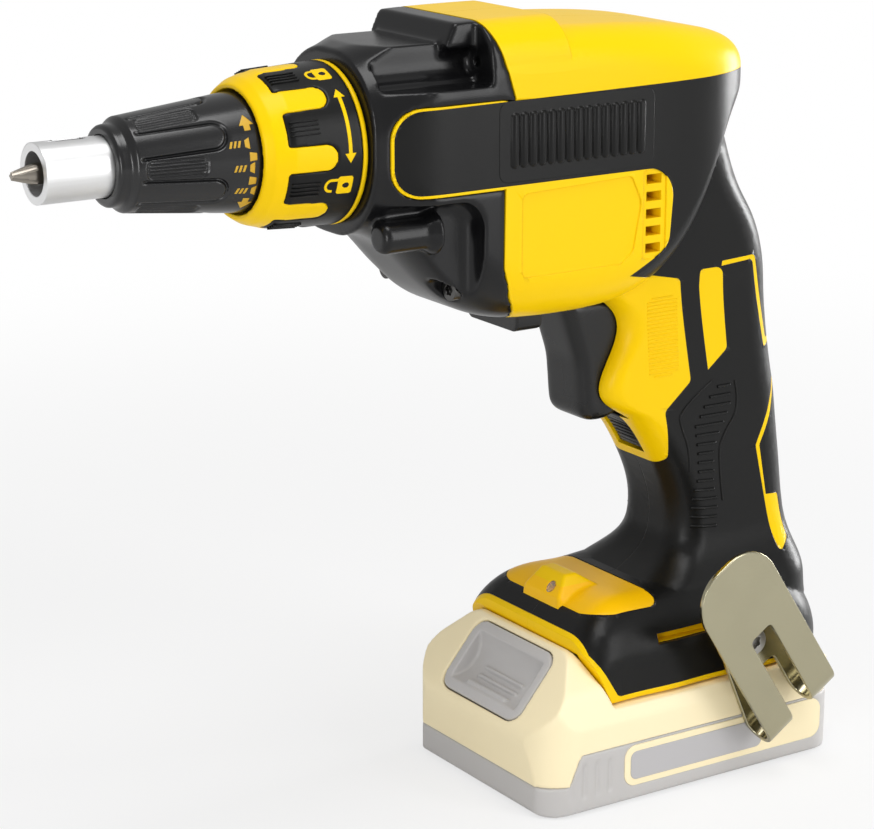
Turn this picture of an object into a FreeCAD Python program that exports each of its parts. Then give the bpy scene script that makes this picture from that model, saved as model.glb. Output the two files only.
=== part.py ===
"""Cordless drywall screwdriver on its slide pack, as separate pieces.

Millimetres.  The nose points along -X, +Z is up and the housing splits at Y = 0.
The origin is on the underside of the pack, below the middle of its length.
"""
import FreeCAD, Part
import math
import os

V = FreeCAD.Vector
os.makedirs("parts", exist_ok=True)

# Shared clearances
overrun = 4.0                 # extra length of a cut past the face it opens
seat_gap = 0.1                # round a piece fixed in its seat
run_gap = 0.05                # radial, shaft in a bearing
glide_gap = 0.35              # round a piece that slides or turns
same_place = 1e-6             # points nearer than this are one
round_end_share = 0.49        # corner round of a slot with round ends, share of its width

# Axes
axis_height = 204.5           # spindle axis above the underside of the pack
motor_drop = 22.5             # motor axis below the spindle axis
motor_height = axis_height - motor_drop

# Head: a loft along X; shares of length, rise, drop and half width, then corner rounds
head_front = -109.0
head_length = 136.0
head_rise = 33.0
head_drop = 54.3
head_half = 29.0
head_shares = (
    (0.000, 0.79, 0.48, 0.88, 0.90, 0.90),
    (0.070, 0.85, 0.51, 0.95, 0.72, 0.80),
    (0.145, 0.885, 0.68, 1.00, 0.50, 0.75),
    (0.225, 0.90, 0.87, 1.00, 0.42, 0.70),
    (0.320, 0.905, 0.975, 1.00, 0.40, 0.60),
    (0.430, 0.905, 1.00, 1.00, 0.40, 0.52),
    (0.520, 0.90, 1.00, 1.00, 0.40, 0.50),
    (0.640, 0.88, 0.97, 1.00, 0.42, 0.50),
    (0.760, 0.84, 0.82, 0.985, 0.46, 0.50),
    (0.870, 0.765, 0.42, 0.91, 0.50, 0.50),
    (0.925, 0.705, 0.13, 0.80, 0.46, 0.42),
    (0.962, 0.64, 0.00, 0.69, 0.42, 0.36),
    (0.985, 0.575, -0.06, 0.58, 0.38, 0.32),
    (1.000, 0.50, -0.11, 0.44, 0.32, 0.28),
)
crown_rise = 3.4              # raised crown of the hood above the loft
crown_front = 24.5            # its ends behind the front face
crown_rear = 64.0
crown_slope = 3.5
crown_low = 16.0              # its cut-off above the spindle axis
crown_side = 0.4              # kept inside the flanks

# Grip: a loft along Z; shares of height, depth (front, rear) and half width, then rounds
grip_base = 48.0
grip_height = 132.0
grip_depth = 50.0
grip_half = 17.0
grip_shares = (
    (0.000, -0.40, 1.14, 1.65, 0.50, 0.60),
    (0.060, -0.24, 1.14, 1.53, 0.50, 0.60),
    (0.114, 0.00, 1.12, 1.26, 0.50, 0.65),
    (0.167, 0.12, 1.086, 1.06, 0.55, 0.70),
    (0.235, 0.14, 1.06, 1.01, 0.55, 0.75),
    (0.333, 0.064, 1.036, 0.98, 0.55, 0.78),
    (0.417, -0.06, 1.008, 0.955, 0.55, 0.78),
    (0.489, -0.23, 0.984, 0.945, 0.50, 0.78),
    (0.542, -0.41, 0.956, 0.955, 0.40, 0.78),
    (0.636, -0.36, 0.906, 0.98, 0.40, 0.78),
    (0.788, -0.48, 0.846, 1.07, 0.40, 0.75),
    (0.879, -0.48, 0.774, 1.18, 0.40, 0.70),
    (0.970, -0.44, 0.63, 1.31, 0.40, 0.65),
    (1.061, -0.40, 0.48, 1.42, 0.40, 0.60),
    (1.174, -0.36, 0.32, 1.50, 0.40, 0.55),
)

# Foot: a loft along X above the pack; shares of length, rise and half width, then the round
foot_front = -39.0
foot_length = 96.5
foot_bottom = 31.0
foot_rise = 29.5
foot_half = 34.0
foot_rake = 7.5               # lower front corner stands this far back
foot_rake_rise = 16.0         # the face is upright above this
foot_edge_share = 0.05
foot_shares = (
    (0.000, 0.645, 0.955, 0.36),
    (0.045, 0.800, 1.00, 0.41),
    (0.105, 0.925, 1.00, 0.47),
    (0.230, 0.965, 1.00, 0.50),
    (0.400, 1.000, 1.00, 0.54),
    (0.650, 1.030, 1.00, 0.62),
    (0.830, 0.960, 0.965, 0.64),
    (0.940, 0.735, 0.83, 0.60),
    (1.000, 0.475, 0.60, 0.55),
)
foot_rim = 2.3                # bare band round the mouth of the foot

# Rubber skin
skin = 1.6
skin_line = 0.8               # bare line left round a panel

# Edge of the rubber on the grip and the bare lines in it: shares of grip depth, height and half width
rubber_edge_shares = (
    (-0.04, 0.326, 0.13), (0.06, 0.38, 0.13), (0.00, 0.497, 0.13), (0.19, 0.56, 0.13),
    (0.05, 0.812, 0.13), (-0.47, 0.855, 0.0), (-0.20, 0.91, 0.40),
)
rubber_heel_share = -0.16     # upper corner behind the vents
strip_shares = (
    (0.196, 0.827, 0.07), (0.37, 0.827, 0.20), (0.46, 0.625, 0.13), (0.32, 0.58, 0.0), (0.206, 0.785, 0.0),
)
back_line_shares = (
    (0.36, 0.84, 0.0), (0.62, 0.845, 0.13), (0.80, 0.63, 0.045), (0.86, 0.63, 0.0),
    (0.86, 0.618, 0.0), (0.775, 0.61, 0.045), (0.60, 0.835, 0.13), (0.36, 0.828, 0.0),
)
tag_shares = (
    (0.89, 0.525, 0.0), (0.91, 0.525, 0.0), (0.835, 0.44, 0.13), (0.745, 0.375, 0.13), (0.80, 0.25, 0.0),
    (0.91, 0.245, 0.07), (0.97, 0.135, 0.07), (0.86, 0.11, 0.07), (0.715, 0.375, 0.13), (0.81, 0.45, 0.13),
)

# Ribs on the side panel, nameplate recess and vent bezel
rib_count = 15
rib_front = -66.0
rib_pitch = 3.15
rib_width = 1.5
rib_top = 7.2                 # above the spindle axis
rib_low = 6.6                 # below the spindle axis
rib_proud = 0.7
rib_seat = 0.5
plate_recess = 0.5
plate_corner_shares = ((0.342, -0.28, 0.04), (0.625, -0.255, 0.04), (0.652, -0.40, 0.10),
                       (0.632, -0.66, 0.06), (0.60, -0.725, 0.06), (0.342, -0.725, 0.04))
bezel_margin = 1.6
bezel_depth = 0.7
bezel_round = 1.2

# Joint between gear case and housing: X, Z shares of the head's length and of its drop
joint_shares = ((0.265, 1.0, 0.0), (0.325, 0.33, 0.0), (0.301, -0.26, 0.0),
                (0.299, -0.66, 0.06), (0.325, -0.83, 0.06), (0.39, -1.05, 0.0))
tongue_front = 4.8            # tongue end behind the front face
tongue_top = 11.8             # above the spindle axis
tongue_low = 13.2             # below the spindle axis
tongue_inner = 22.5           # inner face of the tongue from the middle plane
tongue_round = 9.0

# Gear case
shelf_rise = 27.4             # flat top ahead of the hood
shelf_back = 27.0             # foot of the shelf's rear wall behind the front face
shelf_wall = 4.5              # slope of that wall
scoop_side = 20.0             # upper screws from the middle plane
scoop_rise = 21.8             # and above the spindle axis
scoop_radius = 4.2
scoop_floor = 16.0            # ledge beside the trough, above the spindle axis
scoop_front = 4.0
scoop_back = 36.5
scoop_sink = 0.4              # screw heads behind the scoop's rear wall
case_screw_low = 42.6         # lower screws below the spindle axis
case_screw_low_back = 32.0
case_screw_low_side = 17.0
case_screw_room = 3.6
case_boss_radius = 4.7
case_boss_flare = 6.4
case_boss_drop = 24.0
case_boss_side = 22.3
case_boss_front = 2.5
case_boss_back = 20.0
case_boss_edge = 1.2
case_boss_cone = 3.0
pocket_back = 34.0            # open to the front and below
pocket_top = 15.5
pocket_depth = 8.0
pocket_round = 8.0
pocket_edge = 4.0
spigot_radius = 14.5
spigot_length = 11.0
spigot_nose_radius = 11.5
spigot_nose_length = 27.0
spigot_bore = 9.0

# Motor
stator_front = -60.0
stator_length = 32.0
stator_radius = 21.5
stator_bore = 13.4
stator_ring = 3.5
stator_poles = 6
pole_width = 5.5
coil_width = 2.2
coil_overhang = 3.0
board_thick = 1.5
board_bore = 9.0
rotor_radius = 12.8
rotor_shaft_radius = 2.5
rotor_clear = 2.0
fan_front = -23.5
fan_width = 11.0
fan_radius = 19.0
fan_blades = 9
fan_blade = 1.4
fan_hub = 6.0
fan_back = 2.0
fan_room = 2.0
bearing_radius = 8.0
bearing_width = 5.0
vent_count = 5
vent_width = 5.4
vent_height = 2.8
vent_pitch = 5.1
vent_x = -15.6
vent_drop = 25.8             # middle of the row below the spindle axis

# Gear train
tooth_module = 1.25
pinion_teeth = 9
gear_teeth = 27
tooth_reach_share = 0.78
tooth_root_share = 1.15
tooth_tip_share = 0.30
tooth_base_share = 0.66
gear_front = -91.5
gear_width = 9.0
gear_hub_radius = 6.0
gear_web = 3.5
gear_rim = 3.0
gear_plate_front = -80.0
gear_plate_thick = 5.0
gear_bearing_radius = 9.0
cavity_wall_gap = 2.6
cavity_front = -93.9
pinion_room = 1.8
jaw_count = 3
jaw_inner = 6.2
jaw_outer = 9.0
jaw_height = 2.0
jaw_angle = 50.0
jaw_gap = 3.4
push_travel = 3.0

# Spindle, bit and their bearing
spindle_radius = 4.0
spindle_flange_radius = 9.0
spindle_flange = 3.0
spindle_tail = 5.5            # from the flange's jaws back into the gear
spindle_nose = -150.0
race_front = -133.0
race_width = 8.0
race_radius = 6.2
race_gap = 0.3
holder_front = -176.0
holder_length = 31.0
holder_radius = 5.4
holder_socket = 22.0
bit_tip = -204.6
bit_flats = 6.3
bit_neck_radius = 2.9
bit_neck_length = 14.0
bit_point_length = 6.5
bit_point_radius = 1.1
bit_flute = 1.9
ring_back = 5.0
ring_wire = 0.5
spring_turns = 3
spring_wire = 0.8
spring_gap = 0.3              # free end to the moving face
clutch_spring_radius = 5.1

# Nose: locator tube, carrier, depth sleeve and lock collar
locator_front = -198.1
locator_length = 58.0
locator_radius = 8.3
locator_bore = 6.0
locator_slot_length = 10.0
locator_slot_width = 2.4
locator_slot_back = 5.0
carrier_front = -150.0
carrier_radius = 13.2
sleeve_front = -178.5
sleeve_lip_radius = 11.2
sleeve_lip = 3.4
sleeve_shoulder = 4.8
sleeve_shoulder_radius = 13.0
sleeve_rear = -139.6
sleeve_rear_radius = 16.6
sleeve_skirt = 15.0
sleeve_wall = 2.4
sleeve_fingers = 6
sleeve_finger_width = 6.2
sleeve_finger_length = 25.0
sleeve_channel = 1.3          # width of the channel round a finger
sleeve_channel_depth = 1.0
sleeve_pad_front = 5.0
sleeve_pad_length = 20.0
sleeve_pad_width = 6.0
sleeve_pad_depth = 0.5
sleeve_pad_round = 2.0
collar_front = -139.2
collar_lip_radius = 18.6
collar_lip = 2.7
collar_brow_radius = 20.3
collar_shoulder = 8.0
collar_shoulder_radius = 21.8
collar_rear_radius = 23.0
collar_rear_ring = 1.5
collar_core = 1.9             # depth of the rubber pads
collar_fingers = 8
finger_width = 7.1
finger_length = 14.5
pad_front = 6.2               # pads start behind the lip

# Trigger, direction button, lock-on button and switch
trigger_half = 10.5
trigger_front = -30.0
trigger_rear = -8.5
trigger_top = 149.5
trigger_bottom = 112.0
trigger_lip = 4.0
trigger_round = 5.0
trigger_finger_round = 20.0
trigger_edge = 3.5
trigger_hollow = 2.4
trigger_travel = 6.0
trigger_slot_rear = 1.0
direction_front = -53.0
direction_length = 9.0
direction_half = 13.0
direction_low = 144.6
direction_high = 153.5
direction_round = 2.6
direction_travel = 3.0
lock_half = 6.2
lock_low = 99.0
lock_high = 115.0
lock_depth = 9.0
lock_sink = 1.4
lock_travel = 2.5
lock_front = -3.6
lock_rake = 5.0
switch_front = 1.5
switch_length = 25.0
switch_half = 10.5
switch_low = 119.0
switch_high = 147.0
stem_radius = 3.2
stem_height = 134.0
trigger_spring_radius = 4.6

# Control module in the hood, cable duct
module_front = -50.0
module_length = 50.0
module_half = 18.0
module_low = 4.0
module_high = 20.0
duct_front = 23.0
duct_length = 7.0
duct_half = 4.0

# Housing screws: X and Z of each, with a depth from the right side
screw_radius = 1.75
screw_head_radius = 3.3
screw_head = 2.4
screw_depth = 12.0
screw_pilot = 10.0
screw_places_share = ((-0.426, 0.80), (0.059, 0.227), (0.257, -1.955),
                      (0.135, -3.045), (0.327, -3.47), (-0.103, -4.68))

# Light in the foot: plan of its cover, hood outline in shares of length and height
light_front = -33.0
light_length = 24.5
light_half = 26.5
light_thick = 2.4
light_round = 9.0
light_rear_round = 4.0
nub_front = -34.5
nub_length = 18.5
nub_low = 23.0                # above the foot's underside
nub_height = 10.0
nub_half = 9.5
nub_top_half = 6.2
nub_edge = 1.0
nub_side_shares = ((0.0, 0.0), (0.03, 0.42), (0.27, 1.0), (0.50, 1.0), (1.0, 0.40), (1.0, 0.0))
nub_shoulder_share = 0.35
lens_radius = 1.5
lens_length = 7.0
lens_side = -3.0
lens_rise = 6.0
light_board_thick = 1.6
light_board_half = 6.0

# Belt hook
hook_x = 16.5
hook_height = 44.0
hook_tilt = 33.0
hook_sheet = 1.6
hook_half = 15.0
hook_top = 35.0
hook_low = 29.4
hook_gap = 8.4
hook_slot_half = 4.5
hook_slot_top = 7.1
hook_pad_radius = 11.0
hook_pad_round = 10.5
hook_boss_radius = 8.0
hook_boss_proud = 3.9         # carries the hook clear of the pack's side
hook_round = 12.5
hook_screw_radius = 1.65
hook_screw_depth = 9.0
hook_screw_head = 2.6
hook_screw_head_radius = 4.2
bit_slot_front = -14.0
bit_slot_length = 24.0
bit_slot_height = 3.0
bit_slot_low = 46.8
bit_slot_depth = 5.0

# Rails between foot and pack, terminals
rail_half = 21.0
rail_neck = 5.0
rail_flange = 4.0
rail_flange_height = 5.0
deck_front = -36.0
deck_rear = 42.0
bay_height = 15.0
terminal_length = 8.0
terminal_half = 18.0
blade_count = 5
blade_pitch = 6.0
blade_thick = 0.8
blade_length = 16.0
blade_height = 6.0
blade_lift = 1.5
leaf_thick = 0.6
leaf_length = 9.0
leaf_floor = 2.5

# Pack
pack_length = 115.0
pack_width = 75.0
pack_top = foot_bottom - glide_gap
pack_round = 14.0
pack_edge = 4.0
pack_brow_round = 1.00
tower_top = 46.6
tower_knee = 25.0
tower_toe = 10.0
tower_bulge = 2.0             # front of the pack at the knee, ahead of its foot
tower_gap = 0.45
tower_half = 34.5
tower_shoulder = 37.0
tower_brow_half = 24.5
pack_split = 19.0
pack_split_front = 9.5
pack_split_step = -49.0
pack_split_slope = 4.0
pack_wall = 2.5
pack_floor = 3.0
pack_screw_sink = 1.0         # screw heads above the underside
cell_radius = 9.0
cell_length = 65.0
cell_count = 5
cell_pitch = 18.4
release_half = 20.5
release_length = 24.0
release_centre_share = 0.50
release_depth = 7.0
release_travel = 3.0
release_scoop = 10.0
release_rim = 3.3
release_sink = 4.9            # depth of the finger scoop
release_ribs = 3
release_rib_pitch = 3.0
release_rib_half = 10.0
release_rib = 1.1
release_round = 5.0
release_spring_radius = 4.0
release_spring_length = 5.0
plate_front = -29.0
plate_length = 77.0
plate_low = 5.0
plate_height = 13.0
plate_thick = 0.8
plate_round = 4.0
pack_grip_front = -51.0
pack_grip_length = 19.0
pack_grip_ribs = 4
pack_grip_rib = 1.6
pack_grip_depth = 0.8
pack_screw_radius = 1.5
pack_screw_inset = 9.0
pack_screw_length = 12.0
pack_screw_head_radius = 2.8
pack_screw_head = 2.0

X_AXIS = V(1, 0, 0)
Y_AXIS = V(0, 1, 0)


def block(x0, x1, y0, y1, z0, z1):
    """Box between two corners."""
    return Part.makeBox(x1 - x0, y1 - y0, z1 - z0, V(x0, y0, z0))


def rod_x(x0, x1, radius, y=0, z=0):
    """Round bar along X."""
    return Part.makeCylinder(radius, x1 - x0, V(x0, y, z), X_AXIS)


def rod_y(y0, y1, radius, x, z):
    """Round bar along Y."""
    return Part.makeCylinder(radius, y1 - y0, V(x, y0, z), Y_AXIS)


def tube_x(x0, x1, outer, inner, z):
    """Round tube along X on the middle plane."""
    return rod_x(x0, x1, outer, 0, z).cut(rod_x(x0 - overrun, x1 + overrun, inner, 0, z))


def turned(profile, z):
    """Solid of revolution about an X axis at height z, from (x, radius) points."""
    points = [V(x, 0, z + radius) for x, radius in profile]
    face = Part.Face(Part.makePolygon(points + points[:1]))
    return face.revolve(V(0, 0, z), X_AXIS, 360)


def rounded_wire(corners, place):
    """Closed outline from (a, b, round) corners, each rounded by a tangent arc."""
    starts, edges = [], []
    count = len(corners)
    for index in range(count):
        a, b, radius = corners[index]
        corner = V(a, b, 0)
        before = V(*corners[index - 1][:2], 0) - corner
        after = V(*corners[(index + 1) % count][:2], 0) - corner
        before.normalize()
        after.normalize()
        half = before.getAngle(after) / 2
        if radius == 0:
            starts.append((corner, None, corner))
            continue
        reach = radius / math.tan(half)
        middle = before + after
        middle.normalize()
        near = corner + middle * (radius / math.sin(half) - radius)
        starts.append((corner + before * reach, near, corner + after * reach))
    for index in range(count):
        enter, near, leave = starts[index]
        following = starts[(index + 1) % count][0]
        if near is not None:
            edges.append(Part.Arc(place(enter), place(near), place(leave)).toShape())
        if leave.distanceToPoint(following) > same_place:
            edges.append(Part.LineSegment(place(leave), place(following)).toShape())
    return Part.Wire(edges)


def plate_y(corners, y0, y1):
    """Prism along Y from an outline of (x, z, round) corners."""
    wire = rounded_wire(corners, lambda p: V(p.x, y0, p.y))
    return Part.Face(wire).extrude(V(0, y1 - y0, 0))


def plate_x(corners, x0, x1):
    """Prism along X from an outline of (y, z, round) corners."""
    wire = rounded_wire(corners, lambda p: V(x0, p.x, p.y))
    return Part.Face(wire).extrude(V(x1 - x0, 0, 0))


def plate_z(corners, z0, z1):
    """Prism along Z from an outline of (x, y, round) corners."""
    wire = rounded_wire(corners, lambda p: V(p.x, p.y, z0))
    return Part.Face(wire).extrude(V(0, 0, z1 - z0))


def rounded_box_corners(a0, a1, b0, b1, radius):
    """Four corners of a rectangle with one round."""
    return [(a0, b0, radius), (a1, b0, radius), (a1, b1, radius), (a0, b1, radius)]


def fuse_all(shapes):
    """One solid from shapes that meet."""
    joined = shapes[0].multiFuse(shapes[1:]) if len(shapes) > 1 else shapes[0]
    return joined.removeSplitter()


def around_x(shape, count, z):
    """Copies of a shape, evenly spaced about an X axis at height z."""
    copies = []
    for index in range(count):
        turned_copy = shape.copy()
        turned_copy.rotate(V(0, 0, z), X_AXIS, 360 * index / count)
        copies.append(turned_copy)
    return copies


def mirrored(shape):
    """The same shape on the other side of the middle plane."""
    return shape.mirror(V(0, 0, 0), Y_AXIS)


def section(place, low, high, half, low_round, high_round):
    """Closed eight-edge outline, flat-sided with two sizes of corner."""
    corners = [(low, -half, low_round), (high, -half, high_round),
               (high, half, high_round), (low, half, low_round)]
    return rounded_wire(corners, place)


def coil_spring(x0, x1, radius, z, turns):
    """Coil spring about an X axis, of square wire on half-turn arcs."""
    wire_half = spring_wire / 2
    rise = (x1 - x0 - spring_wire) / (turns * 2)

    def on_coil(step):
        angle = math.pi * step
        return V(x0 + wire_half + rise * step, radius * math.sin(angle), z + radius * math.cos(angle))

    arcs = [Part.Arc(on_coil(n), on_coil(n + 0.5), on_coil(n + 1)).toShape() for n in range(turns * 2)]
    path = Part.Wire(arcs)
    start = on_coil(0)
    profile = Part.makePolygon([start + V(a * wire_half, 0, b * wire_half)
                                for a, b in ((-1, -1), (1, -1), (1, 1), (-1, 1), (-1, -1))])
    return path.makePipeShell([profile], True, False)


# Outer forms, each with an inset for the skin below the rubber

def head_loft(inset, lift, side):
    """Loft of the head; lift raises its top and side narrows it."""
    wires = []
    for along, rise, drop, half, top_round, low_round in head_shares:
        x = head_front + along * (head_length - inset)
        width = half * head_half - side
        place = lambda p, at=x: V(at, p.y, axis_height + p.x)
        wires.append(section(place, inset - drop * head_drop, rise * head_rise + lift - inset,
                             width - inset,
                             low_round * width - inset, top_round * width - inset))
    return Part.makeLoft(wires, True, False)


def head_form(inset):
    """Head of the tool from the gear case to the rear of the hood, with its raised crown."""
    low = axis_height + crown_low
    high = axis_height + head_rise + crown_rise * 2
    front, rear = head_front + crown_front, head_front + crown_rear
    outline = [(front, low, 0), (rear, low, 0), (rear - crown_slope, high, 0),
               (front + crown_slope, high, 0)]
    crown = head_loft(inset, crown_rise, crown_side).common(plate_y(outline, -head_half, head_half))
    return head_loft(inset, 0, 0).fuse(crown)


def grip_form(inset):
    """Grip from inside the head down into the foot."""
    wires = []
    for up, front, rear, half, front_round, rear_round in grip_shares:
        z = grip_base + up * grip_height
        width = half * grip_half
        place = lambda p, at=z: V(p.x, p.y, at)
        wires.append(section(place, front * grip_depth + inset, rear * grip_depth - inset, width - inset,
                             front_round * width - inset, rear_round * width - inset))
    return Part.makeLoft(wires, True, False)


def foot_form(inset):
    """Foot that carries the pack, with its raked front face."""
    wires = []
    for along, rise, half, top_round in foot_shares:
        x = foot_front + along * (foot_length - inset)
        width = half * foot_half
        edge = foot_edge_share * width
        place = lambda p, at=x: V(at, p.y, foot_bottom + p.x)
        wires.append(section(place, -inset, rise * foot_rise - inset, width - inset,
                             edge, top_round * width - inset))
    form = Part.makeLoft(wires, True, False)
    if inset:
        return form
    raked = [(foot_front - overrun, foot_bottom - overrun, 0),
             (foot_front + foot_rake, foot_bottom - overrun, 0),
             (foot_front + foot_rake, foot_bottom, 0), (foot_front, foot_bottom + foot_rake_rise, 0),
             (foot_front - overrun, foot_bottom + foot_rake_rise, 0)]
    return form.cut(plate_y(raked, -foot_half - overrun, foot_half + overrun))


def joint_zone():
    """Space ahead of the face where the gear case meets the housing."""
    span = head_half + overrun
    line = []
    for along, rise, bend in joint_shares:
        level = rise * (head_rise + overrun if rise > 0 else head_drop)
        line.append((head_front + along * head_length, axis_height + level, bend * head_drop))
    front = head_front - overrun
    outline = [(front, line[-1][1], 0), (front, line[0][1], 0)] + line
    return plate_y(outline, -span, span)


def tongue_zone(grow):
    """Side tongues of the housing that clasp the gear case."""
    front = head_front + tongue_front - grow
    rear = head_front + joint_shares[1][0] * head_length + overrun
    outline = rounded_box_corners(front, rear, axis_height - tongue_low - grow,
                                  axis_height + tongue_top + grow,
                                  tongue_round)
    left = plate_y(outline, -head_half - overrun, grow - tongue_inner)
    return left.fuse(mirrored(left))


def grip_outline(shares):
    """Corners in the side view from shares of the grip's depth, height and half width."""
    return [(a * grip_depth, grip_base + up * grip_height, bend * grip_half) for a, up, bend in shares]


def rubber_zone():
    """Where the left skin is rubber: side panel, back of the grip and foot, less the bare islands."""
    panel_front = head_front + tongue_front + skin_line
    panel_top = axis_height + tongue_top - skin_line
    panel_low = axis_height - tongue_low + skin_line
    panel_round = tongue_round - skin_line
    behind = foot_front + foot_length + head_half
    rim_top = foot_bottom + foot_rim
    grip_edge = grip_outline(rubber_edge_shares)
    outline = [(panel_front, panel_top, panel_round), (behind, panel_top + foot_rim, 0),
               (behind, rim_top, 0),
               (foot_front + foot_rake + foot_rim, rim_top, foot_rim),
               (foot_front + foot_rim / 2, foot_bottom + foot_rake_rise, 0),
               (foot_front + foot_rim / 2, grip_edge[0][1], 0)]
    outline += grip_edge
    outline += [(rubber_heel_share * grip_depth, panel_low, tongue_round),
                (panel_front, panel_low, panel_round)]
    side = -foot_half - overrun
    zone = plate_y(outline, side, 0)
    for island in (strip_shares, back_line_shares, tag_shares):
        zone = zone.cut(plate_y(grip_outline(island), side, 0))
    return zone.cut(light_form())


def case_screw_places():
    """Y, Z and head X of the four gear case screws."""
    top_x = head_front + scoop_back + scoop_sink + screw_head
    low_x = head_front + case_screw_low_back
    places = []
    for side in (-1, 1):
        places.append((side * scoop_side, axis_height + scoop_rise, top_x))
        places.append((side * case_screw_low_side, axis_height - case_screw_low, low_x))
    return places


def case_screw(y, z, x, grow):
    """One gear case screw along X, with room round it."""
    head = rod_x(x - screw_head, x, screw_head_radius + grow, y, z)
    return head.fuse(rod_x(x, x + screw_depth + screw_pilot, screw_radius + grow, y, z))


def housing_screw_places():
    """X and Z of the screws that join the housing halves."""
    return [(along * head_length, axis_height + up * head_rise) for along, up in screw_places_share]


def gear_profile(teeth, phase):
    """Outline of a spur gear with flat-sided teeth, as (angle, radius) pairs."""
    pitch_radius = tooth_module * teeth / 2
    tip = pitch_radius + tooth_reach_share * tooth_module
    root = pitch_radius - tooth_root_share * tooth_module
    step = 360 / teeth
    points = []
    for tooth in range(teeth):
        middle = phase + tooth * step
        for share, radius in ((-tooth_base_share, root), (-tooth_tip_share, tip),
                              (tooth_tip_share, tip), (tooth_base_share, root)):
            points.append((middle + share * step / 2, radius))
    return points


def spur_gear(teeth, phase, x0, x1, z):
    """Spur gear about an X axis; phase turns its first tooth from +Z."""
    points = []
    for angle, radius in gear_profile(teeth, phase):
        turn = math.radians(angle)
        points.append(V(x0, -radius * math.sin(turn), z + radius * math.cos(turn)))
    return Part.Face(Part.makePolygon(points + points[:1])).extrude(V(x1 - x0, 0, 0))


def jaw_ring(x0, x1, phase):
    """Ring of clutch jaws about the spindle axis."""
    ring = tube_x(x0, x1, jaw_outer, jaw_inner, axis_height)
    reach = jaw_outer * 2
    half = math.radians(jaw_angle / 2)
    wedge_points = [V(x0, 0, axis_height), V(x0, -reach * math.sin(half),
                                             axis_height + reach * math.cos(half)),
                    V(x0, reach * math.sin(half), axis_height + reach * math.cos(half))]
    wedge = Part.Face(Part.makePolygon(wedge_points + wedge_points[:1])).extrude(V(x1 - x0, 0, 0))
    wedge.rotate(V(0, 0, axis_height), X_AXIS, phase)
    return [ring.common(piece) for piece in around_x(wedge, jaw_count, axis_height)]


# Housing halves, rubber skins and gear case

def build_housing():
    """The two housing halves and their rubber skins."""
    head = head_form(0)
    head = head.cut(joint_zone()).fuse(head.common(tongue_zone(0)))
    body = fuse_all([head, grip_form(0), foot_form(0)])
    core = fuse_all([head_form(skin), grip_form(skin), foot_form(skin)])
    boss = rod_y(-foot_half - hook_boss_proud, foot_half + hook_boss_proud, hook_boss_radius, hook_x,
                 hook_height)
    cuts = housing_cuts()
    rubber = body.common(rubber_zone()).cut(core).cut(boss)
    body = body.fuse(boss)
    span = head_half + foot_half
    tall = axis_height + head_rise + overrun
    left_side = block(head_front - overrun, foot_front + foot_length + overrun, -span, 0, 0, tall)
    left = body.common(left_side).cut(rubber)
    right = mirrored(left)
    left_rubber, right_rubber = rubber, mirrored(rubber)
    left = left.cut(cuts).cut(hook_hole(-1))
    right = right.cut(cuts).cut(hook_hole(1))
    for x, z in housing_screw_places():
        head_y = screw_depth
        bore = rod_y(head_y - screw_head, span, screw_head_radius, x, z)
        shank = rod_y(-screw_pilot, head_y, screw_radius, x, z)
        right = right.cut(bore).cut(shank)
        right_rubber = right_rubber.cut(bore)
        left = left.cut(shank)
    panel_ribs = side_ribs()
    left_rubber, right_rubber = left_rubber.fuse(panel_ribs), right_rubber.fuse(mirrored(panel_ribs))
    recess = side_recess()
    left, right = left.cut(recess), right.cut(mirrored(recess))
    for index in range(vent_count):
        z = axis_height - vent_drop + (index - (vent_count - 1) / 2) * vent_pitch
        slot = block(vent_x - vent_width / 2, vent_x + vent_width / 2, -span, span,
                     z - vent_height / 2, z + vent_height / 2)
        left, right = left.cut(slot), right.cut(slot)
    return left, right, left_rubber.cut(cuts), right_rubber.cut(cuts)


def side_ribs():
    """Upright ribs on the left rubber panel."""
    ribs = []
    for index in range(rib_count):
        x = rib_front + index * rib_pitch
        corners = rounded_box_corners(x, x + rib_width, axis_height - rib_low, axis_height + rib_top,
                                      rib_width * round_end_share)
        ribs.append(plate_y(corners, -head_half - rib_proud, rib_seat - head_half))
    return Part.makeCompound(ribs)


def side_recess():
    """Shallow bare nameplate recess and the bezel round the vents, on the left."""
    corners = [(head_front + along * head_length, axis_height + down * head_drop, bend * head_drop)
               for along, down, bend in plate_corner_shares]
    name_plate = plate_y(corners, -head_half - overrun, plate_recess - head_half)
    half_row = vent_pitch * (vent_count - 1) / 2 + vent_height / 2 + bezel_margin
    half_width = vent_width / 2 + bezel_margin
    bezel = plate_y(rounded_box_corners(vent_x - half_width, vent_x + half_width,
                                        axis_height - vent_drop - half_row,
                                        axis_height - vent_drop + half_row, bezel_round),
                    -head_half - overrun, bezel_depth - head_half)
    return name_plate.fuse(bezel)


def hook_hole(side):
    """Blind screw hole in the hook boss on one side of the foot."""
    face = foot_half + hook_boss_proud
    low, high = face - hook_screw_depth, face + overrun
    return rod_y(min(side * low, side * high), max(side * low, side * high), hook_screw_radius, hook_x,
                 hook_height)


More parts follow.
